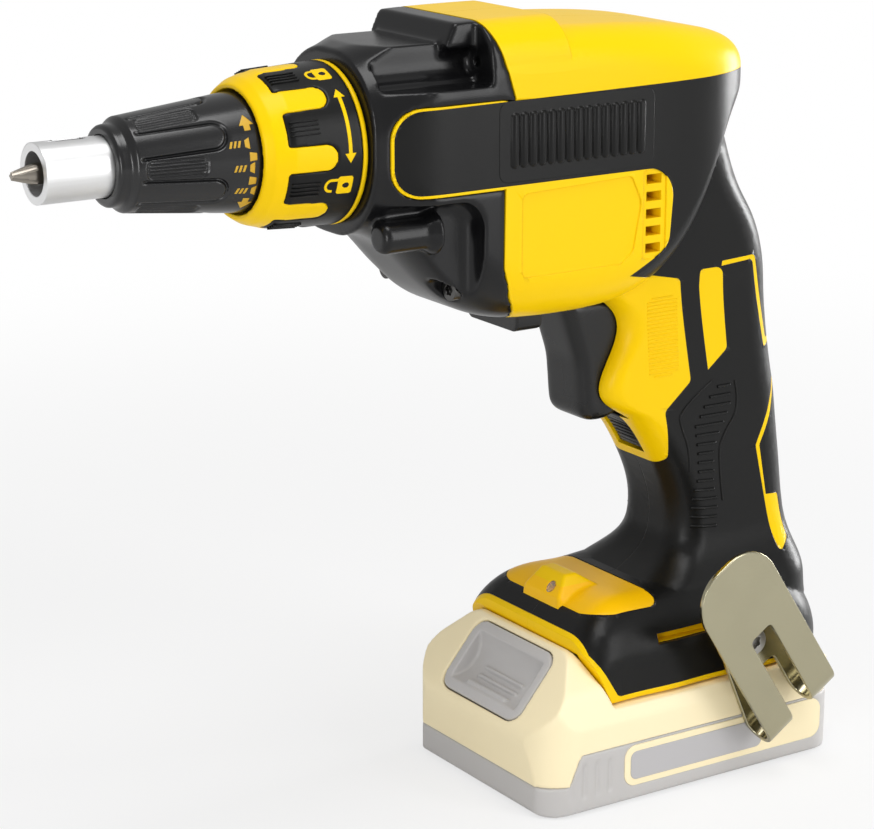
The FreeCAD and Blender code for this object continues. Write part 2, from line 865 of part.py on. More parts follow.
def housing_cuts():
    """Every bay and slot inside the housing."""
    joint_x = head_front + joint_shares[3][0] * head_length - overrun
    fan_rear = fan_front + fan_width + rotor_clear
    bearing_rear = fan_rear + bearing_width
    room = fan_radius + fan_room
    foot_wall = rail_half + rail_flange + glide_gap
    lip_top = pack_top + rail_neck - glide_gap
    cuts = [
        rod_x(joint_x, fan_front - rotor_clear / 2, stator_radius, 0, motor_height),
        rod_x(fan_front - rotor_clear / 2, fan_rear, room, 0, motor_height),
        rod_x(fan_rear, bearing_rear, bearing_radius, 0, motor_height),
        rod_x(fan_rear, bearing_rear + rotor_clear, rotor_shaft_radius * 2, 0, motor_height),
        block(module_front, module_front + module_length, -module_half, module_half,
              axis_height + module_low, axis_height + module_high),
        block(trigger_front - trigger_lip * 2, trigger_slot_rear, -trigger_half - glide_gap,
              trigger_half + glide_gap,
              trigger_bottom - glide_gap, trigger_top + glide_gap),
        block(trigger_slot_rear - overrun, switch_front + switch_length, -switch_half, switch_half,
              switch_low, switch_high),
        block(duct_front, duct_front + duct_length, -duct_half, duct_half,
              foot_bottom + bay_height - overrun, switch_low + overrun),
        block(direction_front - glide_gap, direction_front + direction_length + glide_gap,
              -direction_half - direction_travel - glide_gap, direction_half + direction_travel + glide_gap,
              direction_low - overrun, direction_high + glide_gap),
        block(foot_front - overrun, deck_rear + terminal_length + glide_gap * 2, -rail_half - glide_gap,
              rail_half + glide_gap, foot_bottom - overrun, lip_top + overrun),
        block(foot_front - overrun, deck_rear + terminal_length + glide_gap * 2, -foot_wall, foot_wall,
              lip_top, foot_bottom + bay_height),
        lock_window(),
        light_seat(),
    ]
    for side in (-1, 1):
        slot_y = side * foot_half
        cuts.append(block(bit_slot_front, bit_slot_front + bit_slot_length, slot_y - bit_slot_depth,
                          slot_y + bit_slot_depth, bit_slot_low, bit_slot_low + bit_slot_height))
    cuts += [case_screw(y, z, x, 0) for y, z, x in case_screw_places()]
    return cuts[0].multiFuse(cuts[1:])


def build_gear_case():
    """Gear case with its spigot, shelf, scoops, side pockets and bosses."""
    case = head_form(0).common(joint_zone()).cut(tongue_zone(0))
    shelf_x = head_front + shelf_back
    shelf_z = axis_height + shelf_rise
    high = axis_height + head_rise + overrun
    shelf = [(head_front - overrun, shelf_z, 0), (shelf_x, shelf_z, 0), (shelf_x + shelf_wall, high, 0),
             (head_front - overrun, high, 0)]
    case = case.cut(plate_y(shelf, -head_half - overrun, head_half + overrun))
    pocket, boss, scoop = case_pocket(), case_boss(), case_scoop()
    case = case.cut(pocket).cut(mirrored(pocket)).fuse(boss).fuse(mirrored(boss))
    case = case.cut(scoop).cut(mirrored(scoop))
    for side in (-1, 1):
        case = case.cut(rod_x(head_front, head_front + case_screw_low_back, case_screw_room,
                              side * case_screw_low_side, axis_height - case_screw_low))
    spigot_end = head_front - spigot_length
    spigot_tip = head_front - spigot_nose_length
    case = case.fuse(rod_x(spigot_end, head_front, spigot_radius, 0, axis_height))
    case = case.fuse(rod_x(spigot_tip, spigot_end, spigot_nose_radius, 0, axis_height))
    rear = head_front + head_length
    cavity = gear_cavity(cavity_front, rear)
    flange_room = spindle_flange_radius + cavity_wall_gap
    case = case.cut(cavity).cut(motor_mouth(gear_plate_front, rear))
    case = case.cut(rod_x(spigot_tip - overrun, cavity_front, spigot_bore, 0, axis_height))
    case = case.cut(rod_x(flange_front() - push_travel, cavity_front, flange_room, 0, axis_height))
    for y, z, x in case_screw_places():
        case = case.cut(case_screw(y, z, x, 0))
    return case


def case_pocket():
    """Side pocket below the left tongue, open to the front and below, with a rounded floor."""
    rear, top = head_front + pocket_back, axis_height - pocket_top
    low, front = axis_height - head_drop - overrun, head_front - overrun
    floor = pocket_depth - head_half
    pocket = plate_y([(front, low, 0), (rear, low, 0), (rear, top, pocket_round), (front, top, 0)],
                     -head_half - overrun, floor)
    inner = []
    for edge in pocket.Edges:
        box = edge.BoundBox
        if box.YMin > floor - seat_gap and (box.XMin > rear - pocket_round - seat_gap
                                            or box.ZMin > top - seat_gap):
            inner.append(edge)
    return pocket.makeFillet(pocket_edge, inner)


def case_boss():
    """Round boss in the left pocket, with a flared rear end."""
    front, back = head_front + case_boss_front, head_front + case_boss_back
    boss = turned([(front, 0), (front, case_boss_radius - case_boss_edge),
                   (front + case_boss_edge, case_boss_radius), (back - case_boss_cone, case_boss_radius),
                   (back, case_boss_flare), (back + case_boss_edge, case_boss_flare),
                   (back + case_boss_edge, 0)], axis_height - case_boss_drop)
    return boss.translated(V(0, -case_boss_side, 0))


def case_scoop():
    """Access to the upper left screw: a round trough beside an open ledge."""
    front, rear = head_front + scoop_front, head_front + scoop_back
    level, high = axis_height + scoop_rise, axis_height + head_rise + overrun
    ledge = block(front, rear, -head_half - overrun, -scoop_side, axis_height + scoop_floor, high)
    trough = rod_x(front, rear, scoop_radius, -scoop_side, level)
    mouth = block(front, head_front + shelf_back, -scoop_side, scoop_radius - scoop_side, level, high)
    return ledge.fuse(trough).fuse(mouth)


def gear_cavity(x0, x1):
    """Room for the gears, open to the motor."""
    tip = tooth_module * (gear_teeth / 2 + tooth_reach_share)
    pinion_tip = tooth_module * (pinion_teeth / 2 + tooth_reach_share)
    upper = rod_x(x0, x1, tip + cavity_wall_gap, 0, axis_height)
    return upper.fuse(rod_x(x0, x1, pinion_tip + pinion_room, 0, motor_height))


def motor_mouth(x0, x1):
    """Round mouth of the gear case where the gear plate and motor sit."""
    return rod_x(x0, x1, stator_radius - cavity_wall_gap, 0, motor_height)


def flange_front():
    """X of the front of the spindle's clutch flange."""
    return gear_front - jaw_height - jaw_gap - jaw_height - spindle_flange


def build_gear_train():
    """Gear plate, bearings, drive gear, pinion and clutch spring."""
    plate_rear = gear_plate_front + gear_plate_thick
    plate = gear_cavity(gear_plate_front, plate_rear).fuse(motor_mouth(gear_plate_front, plate_rear))
    plate = plate.cut(rod_x(gear_plate_front - overrun, plate_rear + overrun, gear_bearing_radius, 0,
                            axis_height))
    plate = plate.cut(rod_x(gear_plate_front - overrun, plate_rear + overrun, bearing_radius, 0,
                            motor_height))
    gear_bearing = tube_x(gear_plate_front, plate_rear, gear_bearing_radius, gear_hub_radius + run_gap,
                          axis_height)
    front_bearing = tube_x(gear_plate_front, plate_rear, bearing_radius, rotor_shaft_radius + run_gap,
                           motor_height)
    gear_rear = gear_front + gear_width
    gear = spur_gear(gear_teeth, 180, gear_front, gear_rear, axis_height)
    root = tooth_module * (gear_teeth / 2 - tooth_root_share)
    recess = tube_x(gear_front - overrun, gear_front + (gear_width - gear_web) / 2, root - gear_rim,
                    jaw_outer + gear_rim,
                    axis_height)
    back_recess = tube_x(gear_rear - (gear_width - gear_web) / 2, gear_rear + overrun, root - gear_rim,
                         jaw_outer + gear_rim, axis_height)
    gear = gear.cut(recess).cut(back_recess)
    gear = gear.fuse(rod_x(gear_rear, plate_rear - run_gap * 2, gear_hub_radius, 0, axis_height))
    gear = fuse_all([gear] + jaw_ring(gear_front - jaw_height, gear_front, 0))
    gear = gear.cut(rod_x(gear_front - overrun, gear_rear + gear_web, spindle_radius + glide_gap, 0,
                          axis_height))
    pinion = spur_gear(pinion_teeth, 180 / pinion_teeth, gear_front, gear_rear, motor_height)
    pinion = pinion.cut(rod_x(gear_front - overrun, gear_rear + overrun, rotor_shaft_radius, 0,
                              motor_height))
    spring = coil_spring(flange_front() + spindle_flange, gear_front - spring_gap, clutch_spring_radius,
                         axis_height, spring_turns)
    return plate, gear_bearing, front_bearing, gear, pinion, spring


def build_motor():
    """Stator, coils, sensor board, rotor, fan and rear bearing."""
    rear = stator_front + stator_length
    stator = tube_x(stator_front, rear, stator_radius, stator_radius - stator_ring, motor_height)
    pole = block(stator_front, rear, -pole_width / 2, pole_width / 2, motor_height + stator_bore,
                 motor_height + stator_radius - stator_ring / 2)
    pole = pole.cut(rod_x(stator_front - overrun, rear + overrun, stator_bore, 0, motor_height))
    stator = fuse_all([stator] + around_x(pole, stator_poles, motor_height))
    shoe = stator_bore + pole_width / 5
    coil_top = motor_height + stator_radius - stator_ring - coil_width / 2
    outer = block(stator_front - coil_overhang, rear + coil_overhang, -pole_width / 2 - coil_width,
                  pole_width / 2 + coil_width, motor_height + shoe, coil_top)
    outer = outer.cut(block(stator_front, rear, -pole_width / 2, pole_width / 2, motor_height,
                            coil_top + overrun))
    coils = Part.makeCompound(around_x(outer, stator_poles, motor_height))
    board_rear = stator_front - coil_overhang
    board = tube_x(board_rear - board_thick, board_rear, stator_radius - stator_ring, board_bore,
                   motor_height)
    fan_rear = fan_front + fan_width
    shaft_rear = fan_rear + rotor_clear + bearing_width
    shaft = rod_x(gear_front - rotor_clear, shaft_rear, rotor_shaft_radius, 0, motor_height)
    core = tube_x(stator_front, rear, rotor_radius, rotor_shaft_radius, motor_height)
    disc = rod_x(fan_rear - fan_back, fan_rear, fan_radius, 0, motor_height)
    hub = rod_x(fan_front, fan_rear, fan_hub, 0, motor_height)
    blade = block(fan_front, fan_rear, -fan_blade / 2, fan_blade / 2, motor_height + fan_hub / 2,
                  motor_height + fan_radius - fan_blade)
    fan = fuse_all([disc, hub] + around_x(blade, fan_blades, motor_height))
    fan = fan.cut(rod_x(fan_front - overrun, fan_rear + overrun, rotor_shaft_radius, 0, motor_height))
    bearing_front = fan_rear + rotor_clear
    bearing = tube_x(bearing_front, bearing_front + bearing_width, bearing_radius,
                     rotor_shaft_radius + run_gap,
                     motor_height)
    return stator, coils, board, shaft, core, fan, bearing


def build_spindle():
    """Spindle bearing, its race, spindle, bit holder, retaining ring and bit."""
    race_rear = race_front + race_width
    bearing = tube_x(race_front, race_rear, spigot_bore, race_radius + race_gap, axis_height)
    race = tube_x(race_front, race_rear, race_radius, spindle_radius + run_gap, axis_height)
    front = flange_front()
    jaws_from = front + spindle_flange
    spindle = rod_x(spindle_nose, jaws_from + jaw_height + spindle_tail, spindle_radius, 0, axis_height)
    spindle = spindle.fuse(rod_x(front, jaws_from, spindle_flange_radius, 0, axis_height))
    spindle = fuse_all([spindle] + jaw_ring(jaws_from, jaws_from + jaw_height, 180 / jaw_count))
    hex_radius = bit_flats / math.sqrt(3)
    holder_rear = holder_front + holder_length
    holder = rod_x(holder_front, holder_rear, holder_radius, 0, axis_height)
    holder = holder.cut(rod_x(spindle_nose, holder_rear + overrun, spindle_radius, 0, axis_height))
    socket_end = holder_front + holder_socket
    shank = hex_bar(bit_tip + bit_neck_length, socket_end, hex_radius)
    holder = holder.cut(hex_bar(holder_front - overrun, socket_end, hex_radius))
    groove_x = holder_front + ring_back
    ring = tube_x(groove_x, groove_x + ring_wire * 2, holder_radius, holder_radius - ring_wire, axis_height)
    ring = ring.cut(block(groove_x - overrun, groove_x + overrun, -ring_wire * 2, ring_wire * 2,
                          axis_height,
                          axis_height + holder_radius + overrun))
    holder = holder.cut(ring)
    neck_end = bit_tip + bit_neck_length
    point = turned([(bit_tip, 0), (bit_tip, bit_point_radius),
                    (bit_tip + bit_point_length, bit_neck_radius),
                    (neck_end, bit_neck_radius), (neck_end, 0)], axis_height)
    flute = rod_x(bit_tip - overrun, bit_tip + bit_point_length, bit_flute, 0, 0)
    rise = math.degrees(math.atan2(bit_neck_radius - bit_point_radius, bit_point_length))
    flute.rotate(V(bit_tip, 0, 0), Y_AXIS, -rise)
    flute.translate(V(0, 0, axis_height + bit_point_radius + bit_flute * math.sqrt(3) / 2))
    flute.rotate(V(0, 0, axis_height), X_AXIS, 45)
    for cut in around_x(flute, 4, axis_height):
        point = point.cut(cut)
    return bearing, race, spindle, holder, ring, fuse_all([point, shank])


def hex_bar(x0, x1, radius):
    """Hexagonal bar on the spindle axis."""
    points = [V(x0, radius * math.cos(math.radians(60 * n)),
                axis_height + radius * math.sin(math.radians(60 * n)))
              for n in range(6)]
    return Part.Face(Part.makePolygon(points + points[:1])).extrude(V(x1 - x0, 0, 0))


def build_nose():
    """Depth locator, its carrier, depth sleeve, lock collar and collar pads."""
    locator_rear = locator_front + locator_length
    locator = tube_x(locator_front, locator_rear, locator_radius, locator_bore, axis_height)
    slot_x = locator_front + locator_slot_back
    slot = plate_z(rounded_box_corners(slot_x, slot_x + locator_slot_length, -locator_slot_width / 2,
                                       locator_slot_width / 2, locator_slot_width * round_end_share),
                   axis_height, axis_height + locator_radius + overrun)
    locator = locator.cut(slot)
    spigot_tip = head_front - spigot_nose_length
    carrier_rear = head_front - spigot_length - glide_gap
    bore = spigot_nose_radius + glide_gap
    carrier = rod_x(carrier_front, carrier_rear, carrier_radius, 0, axis_height)
    carrier = carrier.cut(rod_x(carrier_front - overrun, carrier_rear, locator_radius + glide_gap, 0,
                                axis_height))
    carrier = carrier.cut(rod_x(spigot_tip - glide_gap, carrier_rear + overrun, bore, 0, axis_height))
    lip_end = sleeve_front + sleeve_lip
    shoulder = sleeve_front + sleeve_shoulder
    skirt_end = sleeve_rear + sleeve_skirt
    inner = carrier_radius + glide_gap
    through = locator_radius + glide_gap
    chamber = carrier_front - glide_gap
    sleeve = turned([(sleeve_front, through), (sleeve_front, sleeve_lip_radius - sleeve_wall / 2),
                     (sleeve_front + sleeve_wall / 2, sleeve_lip_radius), (lip_end, sleeve_lip_radius),
                     (shoulder, sleeve_shoulder_radius), (sleeve_rear, sleeve_rear_radius),
                     (skirt_end, sleeve_rear_radius), (skirt_end, inner), (chamber, inner),
                     (chamber, through)],
                    axis_height)
    for cut in sleeve_cuts():
        sleeve = sleeve.cut(cut)
    collar, grip = build_collar()
    return locator, carrier, sleeve, collar, grip


def sleeve_skin(x0, x1, depth):
    """Skin of the sleeve's cone between two places, to a depth."""
    shoulder = sleeve_front + sleeve_shoulder
    slope = (sleeve_rear_radius - sleeve_shoulder_radius) / (sleeve_rear - shoulder)
    near = sleeve_shoulder_radius + (x0 - shoulder) * slope
    far = sleeve_shoulder_radius + (x1 - shoulder) * slope
    return turned([(x0, near - depth), (x1, far - depth), (x1, far + overrun), (x0, near + overrun)],
                  axis_height)


def sleeve_cuts():
    """Channels round the sleeve's raised fingers and the sunk pads between them."""
    shoulder = sleeve_front + sleeve_shoulder
    high = axis_height + sleeve_rear_radius + overrun

    def finger(grow):
        half = sleeve_finger_width / 2 + grow
        return plate_z(rounded_box_corners(shoulder - overrun * 2, shoulder + sleeve_finger_length + grow,
                                           -half, half, half * round_end_share * 2), axis_height, high)

    end = shoulder + sleeve_finger_length + sleeve_channel * 2
    skin_ring = sleeve_skin(shoulder + sleeve_channel_depth, end, sleeve_channel_depth)
    channel = finger(sleeve_channel).cut(finger(0)).common(skin_ring)
    pad_x = shoulder + sleeve_pad_front
    pad = plate_z(rounded_box_corners(pad_x, pad_x + sleeve_pad_length, -sleeve_pad_width / 2,
                                      sleeve_pad_width / 2, sleeve_pad_round), axis_height, high)
    pad = pad.common(sleeve_skin(pad_x - overrun, pad_x + sleeve_pad_length + overrun, sleeve_pad_depth))
    pad.rotate(V(0, 0, axis_height), X_AXIS, 180 / sleeve_fingers)
    return around_x(channel, sleeve_fingers, axis_height) + around_x(pad, sleeve_fingers, axis_height)


def build_collar():
    """Lock collar with raised fingers, and the rubber pads between them."""
    rear = head_front - glide_gap
    shoulder = collar_front + collar_shoulder
    mouth = sleeve_rear_radius + glide_gap * 2
    deep = head_front - spigot_length - glide_gap
    full = turned([(collar_front, mouth), (collar_front, collar_lip_radius),
                   (collar_front + collar_lip, collar_brow_radius),
                   (shoulder, collar_shoulder_radius), (rear, collar_rear_radius),
                   (rear, spigot_radius + glide_gap),
                   (deep, spigot_radius + glide_gap), (deep, mouth)], axis_height)
    pad_x = collar_front + pad_front
    band_end = rear - collar_rear_ring
    core = collar_shoulder_radius - collar_core
    ring = full.common(tube_x(pad_x, band_end, collar_rear_radius + overrun, core, axis_height))
    finger = plate_z(rounded_box_corners(pad_x - finger_width, pad_x + finger_length, -finger_width / 2,
                                         finger_width / 2, finger_width * round_end_share),
                     axis_height + core - overrun / 2, axis_height + collar_rear_radius + overrun)
    fingers = around_x(finger, collar_fingers, axis_height)
    fingers = fingers[0].multiFuse(fingers[1:])
    pads = ring.cut(fingers)
    return full.cut(pads).removeSplitter(), pads


# Controls

def build_controls():
    """Trigger, its spring, switch, direction button, lock-on button and control module."""
    low_front = trigger_front + trigger_lip
    middle = (trigger_top + trigger_bottom) / 2
    outline = [(trigger_front - trigger_lip, trigger_top, 0), (trigger_rear, trigger_top, 0),
               (trigger_rear, trigger_bottom + trigger_lip, trigger_round),
               (trigger_rear - trigger_lip * 2, trigger_bottom, trigger_round),
               (low_front, trigger_bottom, trigger_round),
               (trigger_front + trigger_hollow, middle, trigger_finger_round)]
    trigger = plate_y(outline, -trigger_half, trigger_half)
    front_edges = [edge for edge in trigger.Edges
                   if edge.BoundBox.XMax < trigger_rear - trigger_lip and edge.BoundBox.YLength < seat_gap]
    trigger = trigger.makeFillet(trigger_edge, front_edges)
    stem_end = switch_front + trigger_travel + stem_radius
    stem = rod_x(trigger_rear - trigger_lip, stem_end, stem_radius, 0, stem_height)
    trigger = trigger.fuse(stem)
    switch = block(switch_front, switch_front + switch_length, -switch_half, switch_half, switch_low,
                   switch_high)
    switch = switch.cut(rod_x(switch_front - overrun, stem_end + trigger_travel + glide_gap,
                              stem_radius + glide_gap, 0, stem_height))
    spring = coil_spring(trigger_rear + spring_gap, switch_front, trigger_spring_radius, stem_height,
                         spring_turns)
    direction = plate_x(rounded_box_corners(-direction_half, direction_half, direction_low, direction_high,
                                            direction_round), direction_front,
                                            direction_front + direction_length)
    window_front = lock_front + lock_sink
    lock = plate_y(lock_outline(window_front, lock_depth, 0), -lock_half, lock_half)
    module = block(module_front, module_front + module_length, -module_half, module_half,
                   axis_height + module_low, axis_height + module_high)
    return trigger, spring, switch, direction, lock, module


def lock_outline(front, depth, grow):
    """Side outline of the lock-on button, raked with the grip's front."""
    return [(front + lock_rake, lock_low - grow, 0), (front + depth + lock_rake, lock_low - grow, 0),
            (front + depth + lock_rake, lock_high + grow, 0), (front, lock_high + grow, 0)]


def lock_window():
    """Window in the grip's front for the lock-on button, with room for its travel."""
    front = lock_front - overrun * 2
    depth = lock_depth + overrun * 2 + lock_sink + lock_travel + glide_gap
    return plate_y(lock_outline(front, depth, glide_gap), -lock_half - glide_gap, lock_half + glide_gap)


# Light in the foot

def light_form():
    """Plan of the light cover as a tall prism."""
    rear = light_front + light_length
    corners = [(light_front, -light_half, light_round), (rear, -light_half, light_rear_round),
               (rear, light_half, light_rear_round), (light_front, light_half, light_round)]
    return plate_z(corners, foot_bottom + foot_rim, grip_base + grip_depth)


def light_nub():
    """Hood of the work light: its side outline crossed with its front outline, edges rounded."""
    low = foot_bottom + nub_low
    top, shoulder = low + nub_height, low + nub_shoulder_share * nub_height
    side = [(nub_front + along * nub_length, low + up * nub_height, 0) for along, up in nub_side_shares]
    front = [(-nub_half, low, 0), (nub_half, low, 0), (nub_half, shoulder, 0), (nub_top_half, top, 0),
             (-nub_top_half, top, 0), (-nub_half, shoulder, 0)]
    hood = plate_y(side, -nub_half, nub_half).common(plate_x(front, nub_front, nub_front + nub_length))
    upper = [edge for edge in hood.Edges if edge.BoundBox.ZMin > shoulder - seat_gap]
    return hood.makeFillet(nub_edge, upper)


def light_seat():
    """The light cover's plate and hood, which is also its seat in the foot."""
    plate = foot_form(0).cut(foot_form(light_thick)).common(light_form())
    return plate.fuse(light_nub())


def build_light():
    """Light cover with its hood, lens and board."""
    cover = light_seat().removeSplitter()
    low = foot_bottom + nub_low
    lens_z, lens_end = low + lens_rise, nub_front + lens_length
    lens = rod_x(nub_front, lens_end, lens_radius, lens_side, lens_z).common(light_nub())
    board = block(lens_end, lens_end + light_board_thick, -light_board_half, light_board_half, low,
                  lens_z + lens_radius)
    return cover.cut(lens).cut(board), lens, board


# Belt hook

def build_hook():
    """Bent sheet belt hook on the left of the foot, and its screw."""
    inner_face = -foot_half - hook_boss_proud
    inner = inner_face - hook_sheet
    outer_in = inner - hook_gap
    outer = outer_in - hook_sheet
    bend = (hook_gap + hook_sheet * 2) / 2
    bend_z = bend - hook_low
    plate = plate_y([(-hook_half, bend_z, 0), (hook_half, bend_z, 0), (hook_half, hook_top, hook_round),
                     (-hook_half, hook_top, hook_round)], outer, outer_in)
    leg = plate_y([(-hook_half, bend_z, 0), (hook_half, bend_z, 0), (hook_pad_radius, 0, 0),
                   (hook_pad_radius, hook_pad_radius, hook_pad_round),
                   (-hook_pad_radius, hook_pad_radius, hook_pad_round), (-hook_pad_radius, 0, 0)],
                  inner, inner_face)
    turn_y = (outer + inner_face) / 2
    turn = rod_x(-hook_half, hook_half, bend, turn_y, bend_z)
    turn = turn.cut(rod_x(-hook_half - overrun, hook_half + overrun, bend - hook_sheet, turn_y, bend_z))
    turn = turn.cut(block(-hook_half - overrun, hook_half + overrun, outer - overrun, inner_face + overrun,
                          bend_z, hook_top))
    hook = fuse_all([plate, leg, turn])
    slot = plate_y([(-hook_slot_half, -hook_low - overrun, 0), (hook_slot_half, -hook_low - overrun, 0),
                    (hook_slot_half, hook_slot_top, hook_sheet),
                    (-hook_slot_half, hook_slot_top, hook_sheet)],
                   outer - overrun, outer_in + overrun)
    hook = hook.cut(slot)
    prong = plate_y([(-hook_slot_half, -hook_low - overrun, 0), (hook_slot_half, -hook_low - overrun, 0),
                     (hook_slot_half, -hook_pad_radius, hook_sheet),
                     (-hook_slot_half, -hook_pad_radius, hook_sheet)],
                    outer - overrun, inner_face + overrun)
    hook = hook.cut(prong)
    hook = hook.cut(rod_y(inner - overrun, inner_face + overrun, hook_screw_radius, 0, 0))
    hook.rotate(V(0, 0, 0), Y_AXIS, -hook_tilt)
    hook.translate(V(hook_x, 0, hook_height))
    screw_end = -foot_half - hook_boss_proud + hook_screw_depth
    screw = rod_y(inner - hook_screw_head, inner, hook_screw_head_radius, hook_x, hook_height)
    screw = screw.fuse(rod_y(inner, screw_end, hook_screw_radius, hook_x, hook_height))
    return hook, screw


# Pack

def pack_form():
    """Outer form of the pack from its side, front and plan outlines."""
    half_length = pack_length / 2
    half_width = pack_width / 2
    rear_face = foot_front - tower_gap
    side = [(-half_length, 0, pack_edge / 2), (half_length, 0, pack_edge / 2),
            (half_length, pack_top, pack_edge * 2),
            (foot_front + foot_rake - tower_gap, pack_top, 0),
            (rear_face + foot_rake * (foot_bottom + foot_rake_rise - tower_top) / foot_rake_rise,
             tower_top, 0),
            (rear_face - pack_edge / 2, tower_top, pack_brow_round),
            (-half_length - tower_bulge, tower_knee, pack_edge * 2), (-half_length, tower_toe, pack_edge)]
    front = [(-half_width, 0, pack_edge / 2), (half_width, 0, pack_edge / 2),
             (half_width, pack_top - pack_edge, pack_edge),
             (tower_half, tower_shoulder, pack_edge * 2), (tower_brow_half, tower_top, pack_edge * 2),
             (-tower_brow_half, tower_top, pack_edge * 2), (-tower_half, tower_shoulder, pack_edge * 2),
             (-half_width, pack_top - pack_edge, pack_edge)]
    front_x = -half_length - tower_bulge
    plan = rounded_box_corners(front_x, half_length, -half_width, half_width, pack_round)
    form = plate_y(side, -half_width, half_width)
    form = form.common(plate_x(front, front_x, half_length))
    return form.common(plate_z(plan, 0, tower_top))


def pack_lower_zone():
    """Space below the line where the two pack shells meet."""
    half_length = pack_length / 2 + overrun
    step = pack_split_step
    outline = [(-half_length, -overrun, 0), (half_length, -overrun, 0), (half_length, pack_split, 0),
               (step + pack_split_slope, pack_split, 0), (step, pack_split_front, 0),
               (-half_length, pack_split_front, 0)]
    return plate_y(outline, -pack_width, pack_width)


def release_frame(shape):
    """Move a shape from the button's own frame to the sloping front of the pack."""
    knee_x = -pack_length / 2 - tower_bulge
    top_x = foot_front - tower_gap - pack_edge / 2
    slope = math.degrees(math.atan2(top_x - knee_x, tower_top - tower_knee))
    share = release_centre_share
    shape.rotate(V(0, 0, 0), Y_AXIS, slope)
    shape.translate(V(knee_x + share * (top_x - knee_x), 0, tower_knee + share * (tower_top - tower_knee)))
    return shape


def release_prism(grow, depth):
    """Block of the release button's outline, from the slope inwards."""
    return plate_x(rounded_box_corners(-release_half - grow, release_half + grow,
                                       -release_length / 2 - grow,
                                       release_length / 2 + grow, release_round), 0, depth)


def build_release():
    """Release button with its finger scoop and ribs, and the spring behind it."""
    button = release_prism(0, release_depth)
    scoop_half = release_half - release_rim
    scoop_x = release_sink - release_scoop
    scoop = rod_y(-scoop_half, scoop_half, release_scoop, scoop_x, 0)
    ribs = []
    for index in range(release_ribs):
        z = release_rim - release_length / 2 + release_rib_pitch * (index + 0.5)
        ribs.append(block(0, release_depth, -release_rib_half, release_rib_half, z, z + release_rib))
    floor = rod_y(-release_half, release_half, release_scoop - release_rib, scoop_x, 0)
    button = button.cut(scoop.cut(ribs[0].multiFuse(ribs[1:]).cut(floor)))
    spring_from = release_depth + spring_gap
    spring_to = release_depth + release_spring_length - seat_gap * 2
    spring = coil_spring(spring_from, spring_to, release_spring_radius, 0, spring_turns)
    return release_frame(button.removeSplitter()).cut(release_relief()), release_frame(spring)


def release_relief():
    """Room the foot's raked front needs when the button is pressed in."""
    reach = tower_gap + release_travel + glide_gap
    rear, top = foot_front + foot_length, foot_bottom + foot_rise
    return plate_y([(foot_front - reach, top, 0), (foot_front - reach, foot_bottom + foot_rake_rise, 0),
                    (foot_front + foot_rake - reach, foot_bottom, 0), (rear, foot_bottom, 0), (rear, top, 0)],
                   -foot_half, foot_half)


def pack_screw_places():
    """X and Y of the screws under the pack."""
    x = pack_length / 2 - pack_screw_inset
    y = pack_width / 2 - pack_screw_inset
    return [(side_x * x, side_y * y) for side_x in (-1, 1) for side_y in (-1, 1)]


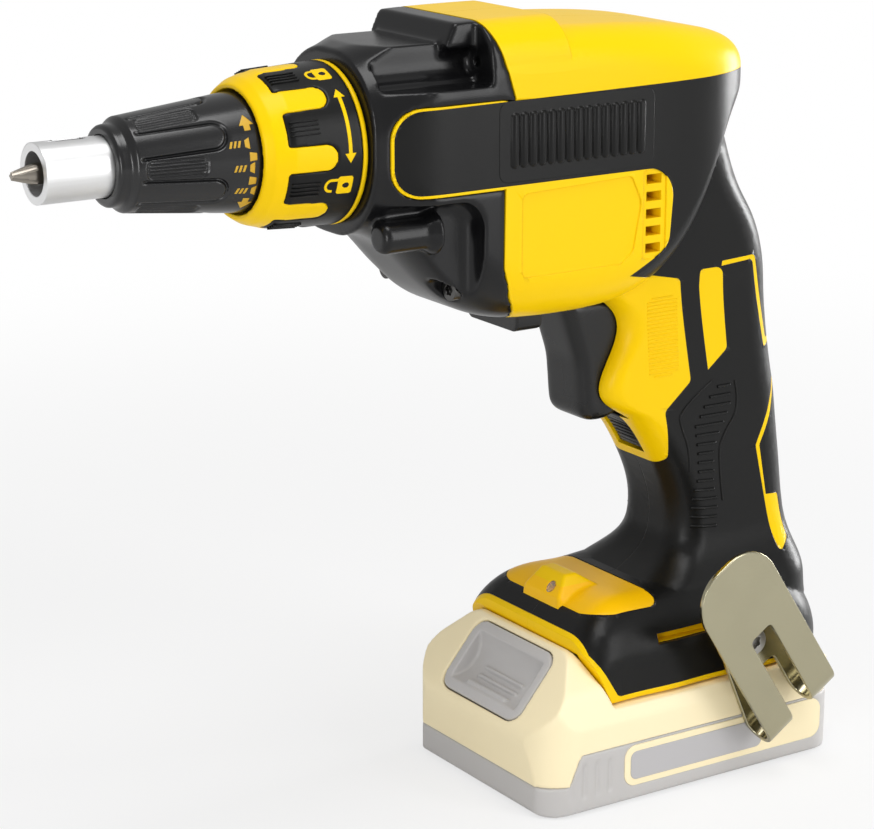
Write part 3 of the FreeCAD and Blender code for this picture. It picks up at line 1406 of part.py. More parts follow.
def build_pack():
    """Pack shells, release button and spring, cells, terminals, screws and label plates."""
    form = pack_form()
    lower_zone = pack_lower_zone()
    half_cells = cell_pitch * cell_count / 2
    cavity = block(-half_cells, half_cells, -cell_length / 2 - pack_wall / 2,
                   cell_length / 2 + pack_wall / 2,
                   pack_floor, pack_floor + cell_radius * 2)
    deck_low = pack_top - overrun
    neck = block(deck_front, deck_rear, -rail_half, rail_half, deck_low, pack_top + rail_neck)
    flange = block(deck_front, deck_rear, -rail_half - rail_flange, rail_half + rail_flange,
                   pack_top + rail_neck, pack_top + rail_neck + rail_flange_height)
    deck_top = pack_top + rail_neck + rail_flange_height
    upper = form.cut(lower_zone).fuse(neck).fuse(flange).cut(cavity)
    lower = form.common(lower_zone).cut(cavity)
    slot_half = blade_thick / 2 + glide_gap + leaf_thick + seat_gap
    leaves = []
    for index in range(blade_count):
        y = (index - (blade_count - 1) / 2) * blade_pitch
        slot_front = deck_rear - blade_length - glide_gap
        upper = upper.cut(block(slot_front, deck_rear + overrun, y - slot_half, y + slot_half,
                                deck_top - blade_height, deck_top + overrun))
        for side in (-1, 1):
            near = y + side * (blade_thick / 2 + glide_gap)
            far = near + side * leaf_thick
            leaves.append(block(slot_front + leaf_floor, slot_front + leaf_floor + leaf_length,
                                min(near, far),
                                max(near, far), deck_top - blade_height, deck_top - leaf_thick))
    button, spring = build_release()
    room = release_prism(glide_gap, release_depth + release_travel + glide_gap)
    upper = upper.cut(release_frame(room.fuse(room.translated(V(-overrun * 2, 0, 0)))))
    well_end = release_depth + release_spring_length
    well = rod_x(0, well_end, release_spring_radius + spring_wire + glide_gap, 0, 0)
    upper = upper.cut(release_frame(well))
    button = button.common(form)
    cells = [rod_y(-cell_length / 2, cell_length / 2, cell_radius,
                   (index - (cell_count - 1) / 2) * cell_pitch,
                   pack_floor + cell_radius) for index in range(cell_count)]
    screws = []
    for x, y in pack_screw_places():
        head = Part.makeCylinder(pack_screw_head_radius, pack_screw_head, V(x, y, pack_screw_sink))
        screw = head.fuse(Part.makeCylinder(pack_screw_radius, pack_screw_length,
                                            V(x, y, pack_screw_sink + pack_screw_head)))
        bore = Part.makeCylinder(pack_screw_head_radius, overrun, V(x, y, pack_screw_sink - overrun))
        lower = lower.cut(bore).cut(screw)
        upper = upper.cut(screw)
        screws.append(screw)
    plates = []
    half_width = pack_width / 2
    for side in (-1, 1):
        face, deep = side * half_width, side * (half_width - plate_thick)
        label = plate_y(rounded_box_corners(plate_front, plate_front + plate_length, plate_low,
                                            plate_low + plate_height, plate_round), min(face, deep),
                                            max(face, deep))
        lower = lower.cut(label)
        plates.append(label)
        for index in range(pack_grip_ribs):
            x = pack_grip_front + (index + 0.5) * pack_grip_length / pack_grip_ribs
            near, far = side * (half_width - pack_grip_depth), side * (half_width + overrun)
            groove = block(x - pack_grip_rib / 2, x + pack_grip_rib / 2, min(near, far), max(near, far),
                           plate_low, plate_low + plate_height - pack_edge / 2)
            lower = lower.cut(groove)
    return (upper.removeSplitter(), lower.removeSplitter(), button, spring, Part.makeCompound(cells),
            Part.makeCompound(leaves), Part.makeCompound(screws), Part.makeCompound(plates))


def build_terminals():
    """Terminal block of the foot with its blades."""
    ceiling = foot_bottom + bay_height
    front = deck_rear + glide_gap
    low = pack_top + rail_neck + glide_gap
    body = block(front, deck_rear + terminal_length + glide_gap * 2, -terminal_half, terminal_half, low,
                 ceiling)
    deck_top = pack_top + rail_neck + rail_flange_height
    blades = []
    for index in range(blade_count):
        y = (index - (blade_count - 1) / 2) * blade_pitch
        blades.append(block(deck_rear - blade_length + glide_gap, front + blade_thick, y - blade_thick / 2,
                            y + blade_thick / 2, deck_top - blade_height + blade_lift,
                            deck_top + blade_lift))
    return fuse_all([body] + blades)


def housing_screws():
    """Screws that join the housing halves."""
    screws = []
    for x, z in housing_screw_places():
        head = rod_y(screw_depth - screw_head, screw_depth, screw_head_radius, x, z)
        screws.append(head.fuse(rod_y(-screw_pilot, screw_depth - screw_head, screw_radius, x, z)))
    return Part.makeCompound(screws)


nodes = {}
(nodes["housing_left"], nodes["housing_right"], nodes["grip_left"], nodes["grip_right"]) = build_housing()
nodes["housing_screws"] = housing_screws()
nodes["gear_case"] = build_gear_case()
nodes["gear_case_screws"] = Part.makeCompound([case_screw(y, z, x, 0) for y, z, x in case_screw_places()])
(nodes["gear_plate"], nodes["gear_bearing"], nodes["front_bearing"], nodes["drive_gear"], nodes["pinion"],
 nodes["clutch_spring"]) = build_gear_train()
(nodes["motor_stator"], nodes["motor_coils"], nodes["motor_board"], nodes["rotor_shaft"],
 nodes["rotor_core"], nodes["cooling_fan"], nodes["rear_bearing"]) = build_motor()
(nodes["spindle_bearing"], nodes["spindle_race"], nodes["spindle"], nodes["bit_holder"],
 nodes["retaining_ring"], nodes["driver_bit"]) = build_spindle()
(nodes["depth_locator"], nodes["nose_carrier"], nodes["depth_sleeve"], nodes["lock_collar"],
 nodes["lock_collar_grip"]) = build_nose()
(nodes["trigger"], nodes["trigger_spring"], nodes["switch_body"], nodes["direction_button"],
 nodes["lock_button"], nodes["control_module"]) = build_controls()
nodes["light_cover"], nodes["light_lens"], nodes["light_board"] = build_light()
nodes["belt_hook"], nodes["belt_hook_screw"] = build_hook()
nodes["terminal_block"] = build_terminals()
(nodes["pack_upper_shell"], nodes["pack_lower_shell"], nodes["pack_release_button"],
 nodes["release_spring"], nodes["pack_cells"], nodes["pack_terminals"], nodes["pack_screws"],
 nodes["pack_labels"]) = build_pack()

for name, shape in nodes.items():
    shape.exportStep("parts/" + name + ".step")
    box = shape.BoundBox
    print(f"{name:22s} solids {len(shape.Solids)} valid {shape.isValid()} volume {shape.Volume:10.1f}",
          f" X {box.XMin:7.1f} {box.XMax:7.1f}  Y {box.YMin:6.1f} {box.YMax:6.1f}",
          f" Z {box.ZMin:6.1f} {box.ZMax:6.1f}")
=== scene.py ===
import math

import bpy
from mathutils import Matrix, Vector


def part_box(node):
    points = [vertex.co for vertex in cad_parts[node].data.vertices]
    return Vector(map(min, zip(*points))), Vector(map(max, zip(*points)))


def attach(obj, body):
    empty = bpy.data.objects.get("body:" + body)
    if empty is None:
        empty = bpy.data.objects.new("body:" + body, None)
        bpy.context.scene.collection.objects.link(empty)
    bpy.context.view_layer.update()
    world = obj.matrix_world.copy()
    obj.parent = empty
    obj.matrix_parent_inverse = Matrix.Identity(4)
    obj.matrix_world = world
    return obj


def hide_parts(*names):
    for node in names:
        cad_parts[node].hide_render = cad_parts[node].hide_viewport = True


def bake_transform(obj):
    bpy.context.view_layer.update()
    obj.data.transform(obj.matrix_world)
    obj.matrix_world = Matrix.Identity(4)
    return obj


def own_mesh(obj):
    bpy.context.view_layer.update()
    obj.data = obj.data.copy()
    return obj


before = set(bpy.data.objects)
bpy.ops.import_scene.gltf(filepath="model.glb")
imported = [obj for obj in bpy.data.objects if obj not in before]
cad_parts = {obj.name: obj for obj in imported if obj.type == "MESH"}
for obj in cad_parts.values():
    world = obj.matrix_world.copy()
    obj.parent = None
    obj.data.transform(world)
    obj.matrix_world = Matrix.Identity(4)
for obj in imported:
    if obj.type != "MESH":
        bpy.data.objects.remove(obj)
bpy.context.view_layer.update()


# Housing halves.  Two glass-filled nylon mouldings, coloured through, that meet on the middle plane.
# Their mould walls are spark-eroded, which leaves a fine matt grain, and the edges wear a little smoother.
class Tint:
    """One socket of a material, so that shader maths reads as Python."""

    def __init__(self, tree, socket=None):
        self.tree = tree
        self.socket = socket

    def node(self, kind, settings=None, out=0, **sockets):
        """Any node: its type, its settings, the output to take, and its sockets' values or links."""
        made = self.tree.nodes.new("ShaderNode" + kind)
        for key, value in (settings or {}).items():
            setattr(made, key, value)
        feed(made, **sockets)
        return Tint(self.tree, made.outputs[out])

    def maths(self, operation, first, second):
        """A Math node on two sockets or numbers."""
        return self.node("Math", {"operation": operation}, at0=first, at1=second)

    def __add__(self, other):
        return self.maths("ADD", self, other)

    __radd__ = __add__

    def __sub__(self, other):
        return self.maths("SUBTRACT", self, other)

    def __rsub__(self, other):
        return self.maths("SUBTRACT", other, self)

    def __mul__(self, other):
        return self.maths("MULTIPLY", self, other)

    __rmul__ = __mul__


def feed(made, **sockets):
    """Link or set a node's sockets, each by its name with _ for a space, or by at and its number."""
    for key, value in sockets.items():
        slot = made.inputs[int(key[2:]) if key.startswith("at") else key.replace("_", " ")]
        if isinstance(value, Tint):
            value.tree.links.new(value.socket, slot)
        else:
            slot.default_value = value


def between(value, low, high):
    """0 where the value is below low, 1 where it is above high, smooth between."""
    smooth = {"interpolation_type": "SMOOTHSTEP"}
    return value.node("MapRange", smooth, Value=value, From_Min=low, From_Max=high)


def mixed(share, below, above):
    """Colour that goes from one to the other as the share goes from 0 to 1."""
    return share.node("Mix", {"data_type": "RGBA"}, out=2, at0=share, at6=below, at7=above)


def new_finish(name):
    """An empty material, its shader, a Tint to add nodes with, and the place on the piece."""
    made = bpy.data.materials.new(name)
    made.use_nodes = True
    tint = Tint(made.node_tree)
    return made, made.node_tree.nodes["Principled BSDF"], tint, tint.node("TexCoord", out="Object")


def edge_mask(tint, radius):
    """Rounded normal of the edges, and how near the surface is to one."""
    soft = tint.node("Bevel", {"samples": 8}, Radius=radius)
    face = tint.node("NewGeometry", out="Normal")
    along = tint.node("VectorMath", {"operation": "DOT_PRODUCT"}, out="Value", at0=soft, at1=face)
    return soft, between(1.0 - along, 0.004, 0.10)


moulded_edge = 0.0004


def moulded(name, colour, worn, roughness, grain, depth, shine=0.5):
    """Moulded plastic or rubber: eroded grain, faint flow marks and edges rubbed a little smoother."""
    made, shader, tint, place = new_finish(name)
    flow = tint.node("TexNoise", Vector=place, Scale=38.0, Detail=3.0, Roughness=0.55)
    erosion = tint.node("TexNoise", Vector=place, Scale=grain, Detail=2.0, Roughness=0.6)
    soft, edges = edge_mask(tint, moulded_edge)
    handled = edges * 0.35 + between(flow, 0.56, 0.80) * 0.12
    bump = tint.node("Bump", Strength=0.35, Distance=depth, Height=erosion, Normal=soft)
    feed(shader, Base_Color=mixed(handled, colour, worn), Normal=bump, Specular_IOR_Level=shine,
         Roughness=(flow - 0.5) * 0.10 + roughness - edges * 0.08)
    return made


def only(*pieces):
    """Select these objects and nothing else."""
    bpy.ops.object.select_all(action="DESELECT")
    for piece in pieces:
        piece.select_set(True)
    bpy.context.view_layer.objects.active = pieces[0]


def applied(piece, kind, **settings):
    """Give the active piece a modifier with these settings, and apply it."""
    step = piece.modifiers.new(kind.lower(), kind)
    for key, value in settings.items():
        setattr(step, key, value)
    bpy.ops.object.modifier_apply(modifier=step.name)


facet_crease, crease, soft_crease = 12.0, 32.0, 50.0


def finished(piece, name, finish, body, angle=crease):
    """Name, shade, colour and fasten a piece."""
    only(piece)
    piece.name = name
    piece.data.name = name
    bpy.ops.object.shade_smooth_by_angle(angle=math.radians(angle))
    piece.data.materials.clear()
    piece.data.materials.append(finish)
    if body:
        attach(piece, body)
    return piece


weld, most_faces = 0.000002, 90000
flat_angle, sharp_angle = math.radians(2.0), math.radians(40.0)


def dressed(node, finish, body, soften=None, chamfer=None):
    """A merged copy of a CAD node, smooth shaded, that stands for the node.

    soften is a voxel size and a count of smoothing rounds, chamfer is a width, and each rounds off the edges.
    """
    only(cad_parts[node])
    bpy.ops.object.duplicate()
    piece = bpy.context.object
    piece.parent = None
    bpy.ops.object.mode_set(mode="EDIT")
    bpy.ops.mesh.select_all(action="SELECT")
    bpy.ops.mesh.remove_doubles(threshold=weld)
    if chamfer:
        bpy.ops.mesh.dissolve_limited(angle_limit=flat_angle)
    bpy.ops.object.mode_set(mode="OBJECT")
    angle = facet_crease
    if chamfer:
        applied(piece, "BEVEL", width=chamfer, segments=3, limit_method="ANGLE", angle_limit=sharp_angle)
        angle = crease
    if soften:
        voxel, rounds = soften
        applied(piece, "REMESH", mode="VOXEL", voxel_size=voxel)
        applied(piece, "SMOOTH", factor=0.5, iterations=rounds)
        faces = len(piece.data.polygons)
        if faces > most_faces:
            applied(piece, "DECIMATE", ratio=most_faces / faces)
        angle = soft_crease
    finished(piece, node + "_look", finish, body, angle=angle)
    applied(piece, "WEIGHTED_NORMAL", keep_sharp=True)
    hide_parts(node)
    return piece


yellow = moulded("yellow_nylon", (0.96, 0.62, 0.001, 1.0), (1.0, 0.68, 0.01, 1.0), roughness=0.32,
                 grain=2600.0, depth=0.00004, shine=0.13)
housing_left = dressed("housing_left", yellow, "tool")
housing_right = dressed("housing_right", yellow, "tool")


# Rubber skins.  Soft thermoplastic rubber moulded over the halves where the hand and knees touch.
# It is satin and nearly black, and a little greyer where its edges are rubbed.
rubber = moulded("dark_rubber", (0.006, 0.006, 0.0058, 1.0), (0.018, 0.018, 0.017, 1.0), roughness=0.33,
                 grain=3400.0, depth=0.00006, shine=0.20)
grip_left = dressed("grip_left", rubber, "tool")
grip_right = dressed("grip_right", rubber, "tool")


# Side ribs.  Soft round ribs on a thin pad at each side of the head, where the tool is laid down.
# They belong to the rubber's mould; one rib is modelled and repeated along the pad.
def round_rib(radii, half_length, place, segments, rings):
    """A ball stretched along Z to a bar with round ends, and set in its place by a matrix."""
    bpy.ops.object.select_all(action="DESELECT")
    bpy.ops.mesh.primitive_uv_sphere_add(segments=segments, ring_count=rings, radius=1.0)
    rib = bpy.context.object
    for corner in rib.data.vertices:
        wide, thick, tall = corner.co
        end = 0.0 if abs(tall) < 0.01 else math.copysign(half_length, tall)
        corner.co = place @ Vector((wide * radii[0], thick * radii[1], tall * radii[2] + end))
    return rib


def repeated(piece, count, step):
    """Copies of a piece in a row, each one step further on."""
    applied(piece, "ARRAY", count=count, use_relative_offset=False, use_constant_offset=True,
            constant_offset_displace=step)


def faced_outwards():
    """Turn the faces of the active mesh outwards."""
    bpy.ops.object.mode_set(mode="EDIT")
    bpy.ops.mesh.select_all(action="SELECT")
    bpy.ops.mesh.normals_make_consistent(inside=False)
    bpy.ops.object.mode_set(mode="OBJECT")


def slab(corners, thickness, rounding=0.0, segments=1, cuts=0):
    """A plate drawn as a flat outline, its corners rounded or its face cut up first, and then extruded."""
    bpy.ops.object.select_all(action="DESELECT")
    bpy.ops.mesh.primitive_circle_add(vertices=len(corners), fill_type="NGON")
    plate = bpy.context.object
    for corner, place in zip(plate.data.vertices, corners):
        corner.co = place
    bpy.ops.object.mode_set(mode="EDIT")
    bpy.ops.mesh.select_all(action="SELECT")
    if rounding:
        bpy.ops.mesh.bevel(offset=rounding, segments=segments, affect="VERTICES")
    if cuts:
        bpy.ops.mesh.quads_convert_to_tris()
        bpy.ops.mesh.subdivide(number_cuts=cuts)
    bpy.ops.mesh.extrude_region_move(TRANSFORM_OT_translate={"value": thickness})
    bpy.ops.object.mode_set(mode="OBJECT")
    faced_outwards()
    return plate


def upright(front, rear, low, high, across):
    """Corners of an upright oblong at one side of the tool."""
    return [(front, across, low), (rear, across, low), (rear, across, high), (front, across, high)]


sides = ((-1, "left"), (1, "right"))
rib_first, rib_pitch, rib_count = -0.06525, 0.00315, 15
rib_low, rib_high = 0.1985, 0.2111
rib_half, rib_proud = 0.00146, 0.00088
panel_face = 0.0290
panel_front, panel_rear, panel_low, panel_high = -0.0705, -0.0165, 0.1930, 0.2160
panel_corner, panel_proud = 0.0030, 0.00007
for side, name in sides:
    rib_middle = Matrix.Translation((rib_first, side * panel_face, (rib_low + rib_high) / 2.0))
    rib = round_rib((rib_half, rib_proud, rib_half), (rib_high - rib_low) / 2.0, rib_middle,
                    segments=20, rings=12)
    repeated(rib, rib_count, (rib_pitch, 0.0, 0.0))
    pad_corners = upright(panel_front, panel_rear, panel_low, panel_high, side * (panel_face - panel_proud))
    pad = slab(pad_corners, (0.0, side * panel_proud * 2.0, 0.0), rounding=panel_corner, segments=6)
    only(rib, pad)
    bpy.ops.object.join()
    finished(rib, "side_ribs_" + name, rubber, "tool")


# Grip lines.  Fine moulded ribs that give the palm and fingers hold, part of the halves and of the rubber.
# Each is a round bead along a line that is laid on the surface; a low border runs round the palm's ribs.
mm = 0.001
clear_of_grip = 0.045


def beads(lines, radius, target, side):
    """Round ribs on one flank of the grip, along lines of five (x, z) points in millimetres."""
    paths = []
    for line in lines:
        bpy.ops.object.select_all(action="DESELECT")
        bpy.ops.curve.primitive_nurbs_path_add()
        path = bpy.context.object
        for point, (along, height) in zip(path.data.splines[0].points, line):
            point.co = (along * mm, side * clear_of_grip, height * mm, 1.0)
        path.data.splines[0].order_u = 3
        path.data.resolution_u = 5
        paths.append(path)
    only(*paths)
    bpy.ops.object.join()
    bpy.ops.object.convert(target="MESH")
    piece = bpy.context.object
    applied(piece, "SHRINKWRAP", target=target, wrap_method="PROJECT", use_project_y=True,
            use_positive_direction=side < 0, use_negative_direction=side > 0)
    bpy.ops.object.convert(target="CURVE")
    piece.data.bevel_depth = radius
    piece.data.bevel_resolution = 2
    piece.data.use_fill_caps = True
    bpy.ops.object.convert(target="MESH")
    return bpy.context.object


def straight(first, last):
    """Five even points from one end of a line to the other."""
    return [tuple(a + (b - a) * step / 4.0 for a, b in zip(first, last)) for step in range(5)]


finger_bead, palm_bead, border_bead = 0.00028, 0.00052, 0.00035
line_count, line_top, line_pitch, line_lean = 22, 150.0, 1.18, 0.12
line_front, line_rear = -9.0, 2.0
line_trims = {0: (1.6, 1.6), line_count - 1: (1.9, 2.4)}
finger_lines = []
for index in range(line_count):
    front_trim, rear_trim = line_trims.get(index, (0.0, 0.0))
    height = line_top - line_pitch * index
    finger_lines.append(straight((line_front + line_lean * index + front_trim, height),
                                 (line_rear + line_lean * index - rear_trim, height)))
palm_top, palm_pitch, palm_fall = 118.6, 2.9, 0.05
palm_ends = ((20.1, 24.8), (17.2, 25.2), (15.1, 25.3), (13.6, 24.2), (11.8, 22.8), (12.1, 20.9),
             (12.5, 19.7), (12.9, 18.9), (13.0, 18.8), (13.1, 18.9), (12.6, 19.0), (11.8, 19.1),
             (11.3, 20.3), (11.2, 20.4), (11.1, 20.2), (11.1, 20.0))
screw_height, screw_room, screw_stop = 104.0, 4.2, 14.2
palm_lines = {-1: [], 1: []}
for index, (front, rear) in enumerate(palm_ends):
    height = palm_top - palm_pitch * index
    short = min(rear, screw_stop) if abs(height - screw_height) < screw_room else rear
    palm_lines[-1].append(straight((front, height), (rear, height - palm_fall * index)))
    palm_lines[1].append(straight((front, height), (short, height - palm_fall * index)))
palm_border = [[(17.9, 120.9), (5.0, 113.1), (6.6, 107.0), (9.4, 100.7), (9.9, 93.0)],
               [(26.7, 119.6), (29.4, 111.0), (23.0, 103.5), (20.6, 97.0), (22.6, 82.0)]]
for (side, name), half, skin in zip(sides, (housing_left, housing_right), (grip_left, grip_right)):
    finger_ribs = beads(finger_lines, finger_bead, half, side)
    finished(finger_ribs, "finger_lines_" + name, yellow, "tool")
    palm_ribs = beads(palm_lines[side], palm_bead, skin, side)
    finished(palm_ribs, "palm_ribs_" + name, rubber, "tool")
    palm_edge = beads(palm_border, border_bead, skin, side)
    finished(palm_edge, "palm_border_" + name, rubber, "tool")


# Gear case.  A die-cast magnesium case with black paint, satin rather than glossy, held by four long screws.
# The spigot under the nose is part of the same casting.
case_black = moulded("case_black", (0.005, 0.005, 0.0055, 1.0), (0.018, 0.018, 0.019, 1.0), roughness=0.25,
                     grain=2200.0, depth=0.00003, shine=0.30)
dressed("gear_case", case_black, "tool", soften=(0.0007, 5))


# Screws.  Steel with a star recess, zinc plated or blackened, driven into the plastic and the casting.
# The recess is cut in each head with a six-lobed cutter.
def shaded(colour, factor):
    """The colour made darker or lighter."""
    return tuple(min(1.0, part * factor) for part in colour[:3]) + (1.0,)


def metal(name, colour, roughness, brush, depth, stretch=(1.0, 1.0, 1.0), edge=0.0003, patina=0.5):
    """Bare or plated metal with fine tool marks, stretched along the way it was turned or drawn."""
    made, shader, tint, place = new_finish(name)
    lie = tint.node("Mapping", Vector=place, Scale=stretch)
    marks = tint.node("TexNoise", Vector=lie, Scale=brush, Detail=3.0, Roughness=0.6)
    cloud = tint.node("TexNoise", Vector=place, Scale=55.0, Detail=2.0)
    soft, edges = edge_mask(tint, edge)
    bump = tint.node("Bump", Strength=0.25, Distance=depth, Height=marks, Normal=soft)
    dulled = between(cloud, 0.40, 0.72) * patina
    feed(shader, Base_Color=mixed(dulled, colour, shaded(colour, 0.72)), Normal=bump, Metallic=1.0,
         Roughness=(marks - 0.5) * 0.16 + roughness + (cloud - 0.5) * 0.2 * patina - edges * 0.06)
    return made


star_points, star_lobes, lobe_share = 24, 6, 0.16


def recess_heads(piece, centres, axis, across, depth):
    """Cut a six-lobed recess in each screw head; the cutter stands along Z and is turned about the axis."""
    outline = []
    for index in range(star_points):
        turn = 2.0 * math.pi * index / star_points
        reach = across / 2.0 * (1.0 + lobe_share * math.cos(star_lobes * turn))
        outline.append((reach * math.sin(turn), reach * math.cos(turn), -depth))
    for centre in centres:
        cutter = slab(outline, (0.0, 0.0, depth * 2.0))
        cutter.matrix_world = Matrix.Translation(centre) @ Matrix.Rotation(math.radians(90.0), 4, axis)
        only(piece)
        applied(piece, "BOOLEAN", operation="DIFFERENCE", object=cutter)
        bpy.data.objects.remove(cutter)


screw_zinc = metal("screw_zinc", (0.42, 0.41, 0.39, 1.0), roughness=0.36, brush=900.0, depth=0.00002)
screw_dark = metal("screw_dark", (0.095, 0.093, 0.09, 1.0), roughness=0.36, brush=900.0, depth=0.00002)
star_across, star_deep = 0.0034, 0.0012
case_screws = dressed("gear_case_screws", screw_dark, "tool")
upper_heads = [(-0.0721, side * 0.0200, 0.2263) for side, name in sides]
lower_heads = [(-0.0794, side * 0.0170, 0.1619) for side, name in sides]
recess_heads(case_screws, upper_heads + lower_heads, "Y", star_across, star_deep)
housing_screws = dressed("housing_screws", screw_zinc, "tool")
head_face = 0.0120
housing_heads = [(along, head_face, height) for along, height in (
    (-0.0579, 0.2309), (0.0080, 0.2120), (0.0350, 0.1400), (0.0184, 0.1040), (0.0445, 0.0900),
    (-0.0140, 0.0501))]
recess_heads(housing_screws, housing_heads, "X", star_across, star_deep)


# Motor and gears.  A brushless motor drives a pinion and a larger gear behind the clutch.
# It is laminated iron, copper windings, hardened steel and wound springs, and shows only with the case open.
wave_length = math.pi / 10.0


def stacked(name, colour, pitch):
    """Iron laminations: thin sheets along X with dark joints between them."""
    made, shader, tint, place = new_finish(name)
    sheets = tint.node("TexWave", {"wave_type": "BANDS", "bands_direction": "X"}, out=1, Vector=place,
                       Scale=wave_length / pitch, Distortion=0.0)
    rust = tint.node("TexNoise", Vector=place, Scale=260.0, Detail=4.0)
    joints = between(sheets, 0.06, 0.30)
    bump = tint.node("Bump", Strength=0.5, Distance=0.00008, Height=joints)
    feed(shader, Base_Color=mixed(joints, shaded(colour, 0.35), colour), Roughness=rust * 0.25 + 0.32,
         Normal=bump, Metallic=0.9)
    return made


def wound(name, colour, pitch):
    """Enamelled copper wire, laid side by side, with painted shade darkening the gaps between the turns."""
    made, shader, tint, place = new_finish(name)
    turns = tint.node("TexWave", {"wave_type": "BANDS", "bands_direction": "DIAGONAL"}, out=1, Vector=place,
                      Scale=wave_length / pitch, Distortion=0.4, Detail=1.0)
    bump = tint.node("Bump", Strength=0.8, Distance=0.0002, Height=turns)
    # The crowns of the turns keep the copper's colour, and the gaps between them are darkened to 0.3 of it:
    # painted shade.
    unshaded_crowns = between(turns, 0.05, 0.5)
    feed(shader, Base_Color=mixed(unshaded_crowns, shaded(colour, 0.3), colour), Roughness=0.42 - turns * 0.18,
         Normal=bump, Metallic=0.85, Coat_Weight=0.3)
    return made


def board(name, colour):
    """Lacquered circuit board with copper tracks under the green."""
    made, shader, tint, place = new_finish(name)
    tracks = tint.node("TexBrick", {"offset": 0.37}, out=1, Vector=place, Scale=210.0, Mortar_Size=0.08)
    weave = tint.node("TexNoise", Vector=place, Scale=1500.0)
    bump = tint.node("Bump", Strength=0.3, Distance=0.00003, Height=tracks)
    feed(shader, Base_Color=mixed(tracks, colour, shaded(colour, 1.7)), Roughness=weave * 0.2 + 0.22,
         Normal=bump)
    return made


gear_steel = metal("gear_steel", (0.50, 0.50, 0.51, 1.0), roughness=0.30, brush=700.0, depth=0.00002,
                   stretch=(1.0, 6.0, 6.0))
bearing_steel = metal("bearing_steel", (0.62, 0.62, 0.64, 1.0), roughness=0.16, brush=600.0, depth=0.00001,
                      stretch=(8.0, 1.0, 1.0))
spring_wire = metal("spring_wire", (0.40, 0.41, 0.42, 1.0), roughness=0.30, brush=1200.0, depth=0.00001)
core_iron = stacked("core_iron", (0.20, 0.20, 0.21, 1.0), pitch=0.0007)
coil_copper = wound("coil_copper", (0.60, 0.22, 0.08, 1.0), pitch=0.0008)
circuit_green = board("circuit_green", (0.010, 0.090, 0.030, 1.0))
inner_black = moulded("inner_black", (0.012, 0.012, 0.012, 1.0), (0.03, 0.03, 0.03, 1.0), roughness=0.5,
                      grain=1800.0, depth=0.00008)
for node, finish, body in (
        ("gear_plate", gear_steel, "tool"), ("gear_bearing", bearing_steel, "tool"),
        ("front_bearing", bearing_steel, "tool"), ("rear_bearing", bearing_steel, "tool"),
        ("motor_stator", core_iron, "tool"), ("motor_coils", coil_copper, "tool"),
        ("motor_board", circuit_green, "tool"), ("rotor_shaft", gear_steel, "rotor"),
        ("rotor_core", core_iron, "rotor"), ("cooling_fan", inner_black, "rotor"),
        ("pinion", gear_steel, "rotor"), ("drive_gear", gear_steel, "gear"),
        ("switch_body", inner_black, "tool"), ("control_module", inner_black, "tool"),
        ("terminal_block", inner_black, "tool")):
    dressed(node, finish, body)
nose_axis, clutch_travel = 0.2045, 0.0032
clutch_spring = dressed("clutch_spring", spring_wire, "spindle")
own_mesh(clutch_spring)
trigger_spring = dressed("trigger_spring", spring_wire, None)
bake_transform(trigger_spring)


# Spindle and bit.  Ground steel shaft in a ball race, with a hexagon socket that holds a cross-head bit.
# The bit is browned tool steel, with the marks of its grinding.
bit_steel = metal("bit_steel", (0.32, 0.29, 0.25, 1.0), roughness=0.34, brush=800.0, depth=0.00002,
                  stretch=(1.0, 5.0, 5.0))
for node, finish, body in (
        ("spindle_bearing", bearing_steel, "tool"), ("spindle_race", bearing_steel, "race"),
        ("spindle", gear_steel, "spindle"), ("bit_holder", gear_steel, "spindle"),
        ("retaining_ring", spring_wire, "spindle"), ("driver_bit", bit_steel, "spindle")):
    dressed(node, finish, body)


# Depth locator.  A bright plated steel tube that stops on the plasterboard and sets how deep the screw goes.
# A fine grain under the plate makes it satin, and it slides in a black nylon carrier.
tube_plate = metal("tube_plate", (0.80, 0.80, 0.80, 1.0), roughness=0.40, brush=1500.0, depth=0.00003,
                   edge=0.0005, patina=0.2)
dressed("depth_locator", tube_plate, "locator")
dressed("nose_carrier", inner_black, "nose")


# Depth sleeve.  A black nylon cone, turned to shift the locator, with ribbed pads between smooth fingers.
# Its rear band carries printed arrows and small screws set to three depths.  Its sizes are in millimetres.
sleeve_black = moulded("sleeve_black", (0.006, 0.006, 0.0065, 1.0), (0.018, 0.018, 0.018, 1.0),
                       roughness=0.22, grain=2400.0, depth=0.00002, shine=0.50)
cone_front, cone_rear, cone_radius, cone_step, sleeve_slope = -173.4, -139.6, 13.03, 0.25, 0.1056
finger_angle, finger_centre, finger_half = 60.0, -151.8, 3.1
channel_middle, channel_wide, channel_deep, channel_fade = 0.70, 0.48, 0.95, 2.0
pad_middle, pad_length, pad_across, pad_round, pad_deep = -162.8, 17.6, 5.4, 1.8, 0.55
pad_lip, pad_floor = -0.3, 0.4
ridge_pitch, ridge_high, ridge_start, ridge_full = 0.95, 0.40, 0.3, 0.9
sleeve_around = 600


def eased(value, low, high):
    """0 at low and 1 at high, smooth between."""
    share = min(1.0, max(0.0, (value - low) / (high - low)))
    return share * share * (3.0 - 2.0 * share)


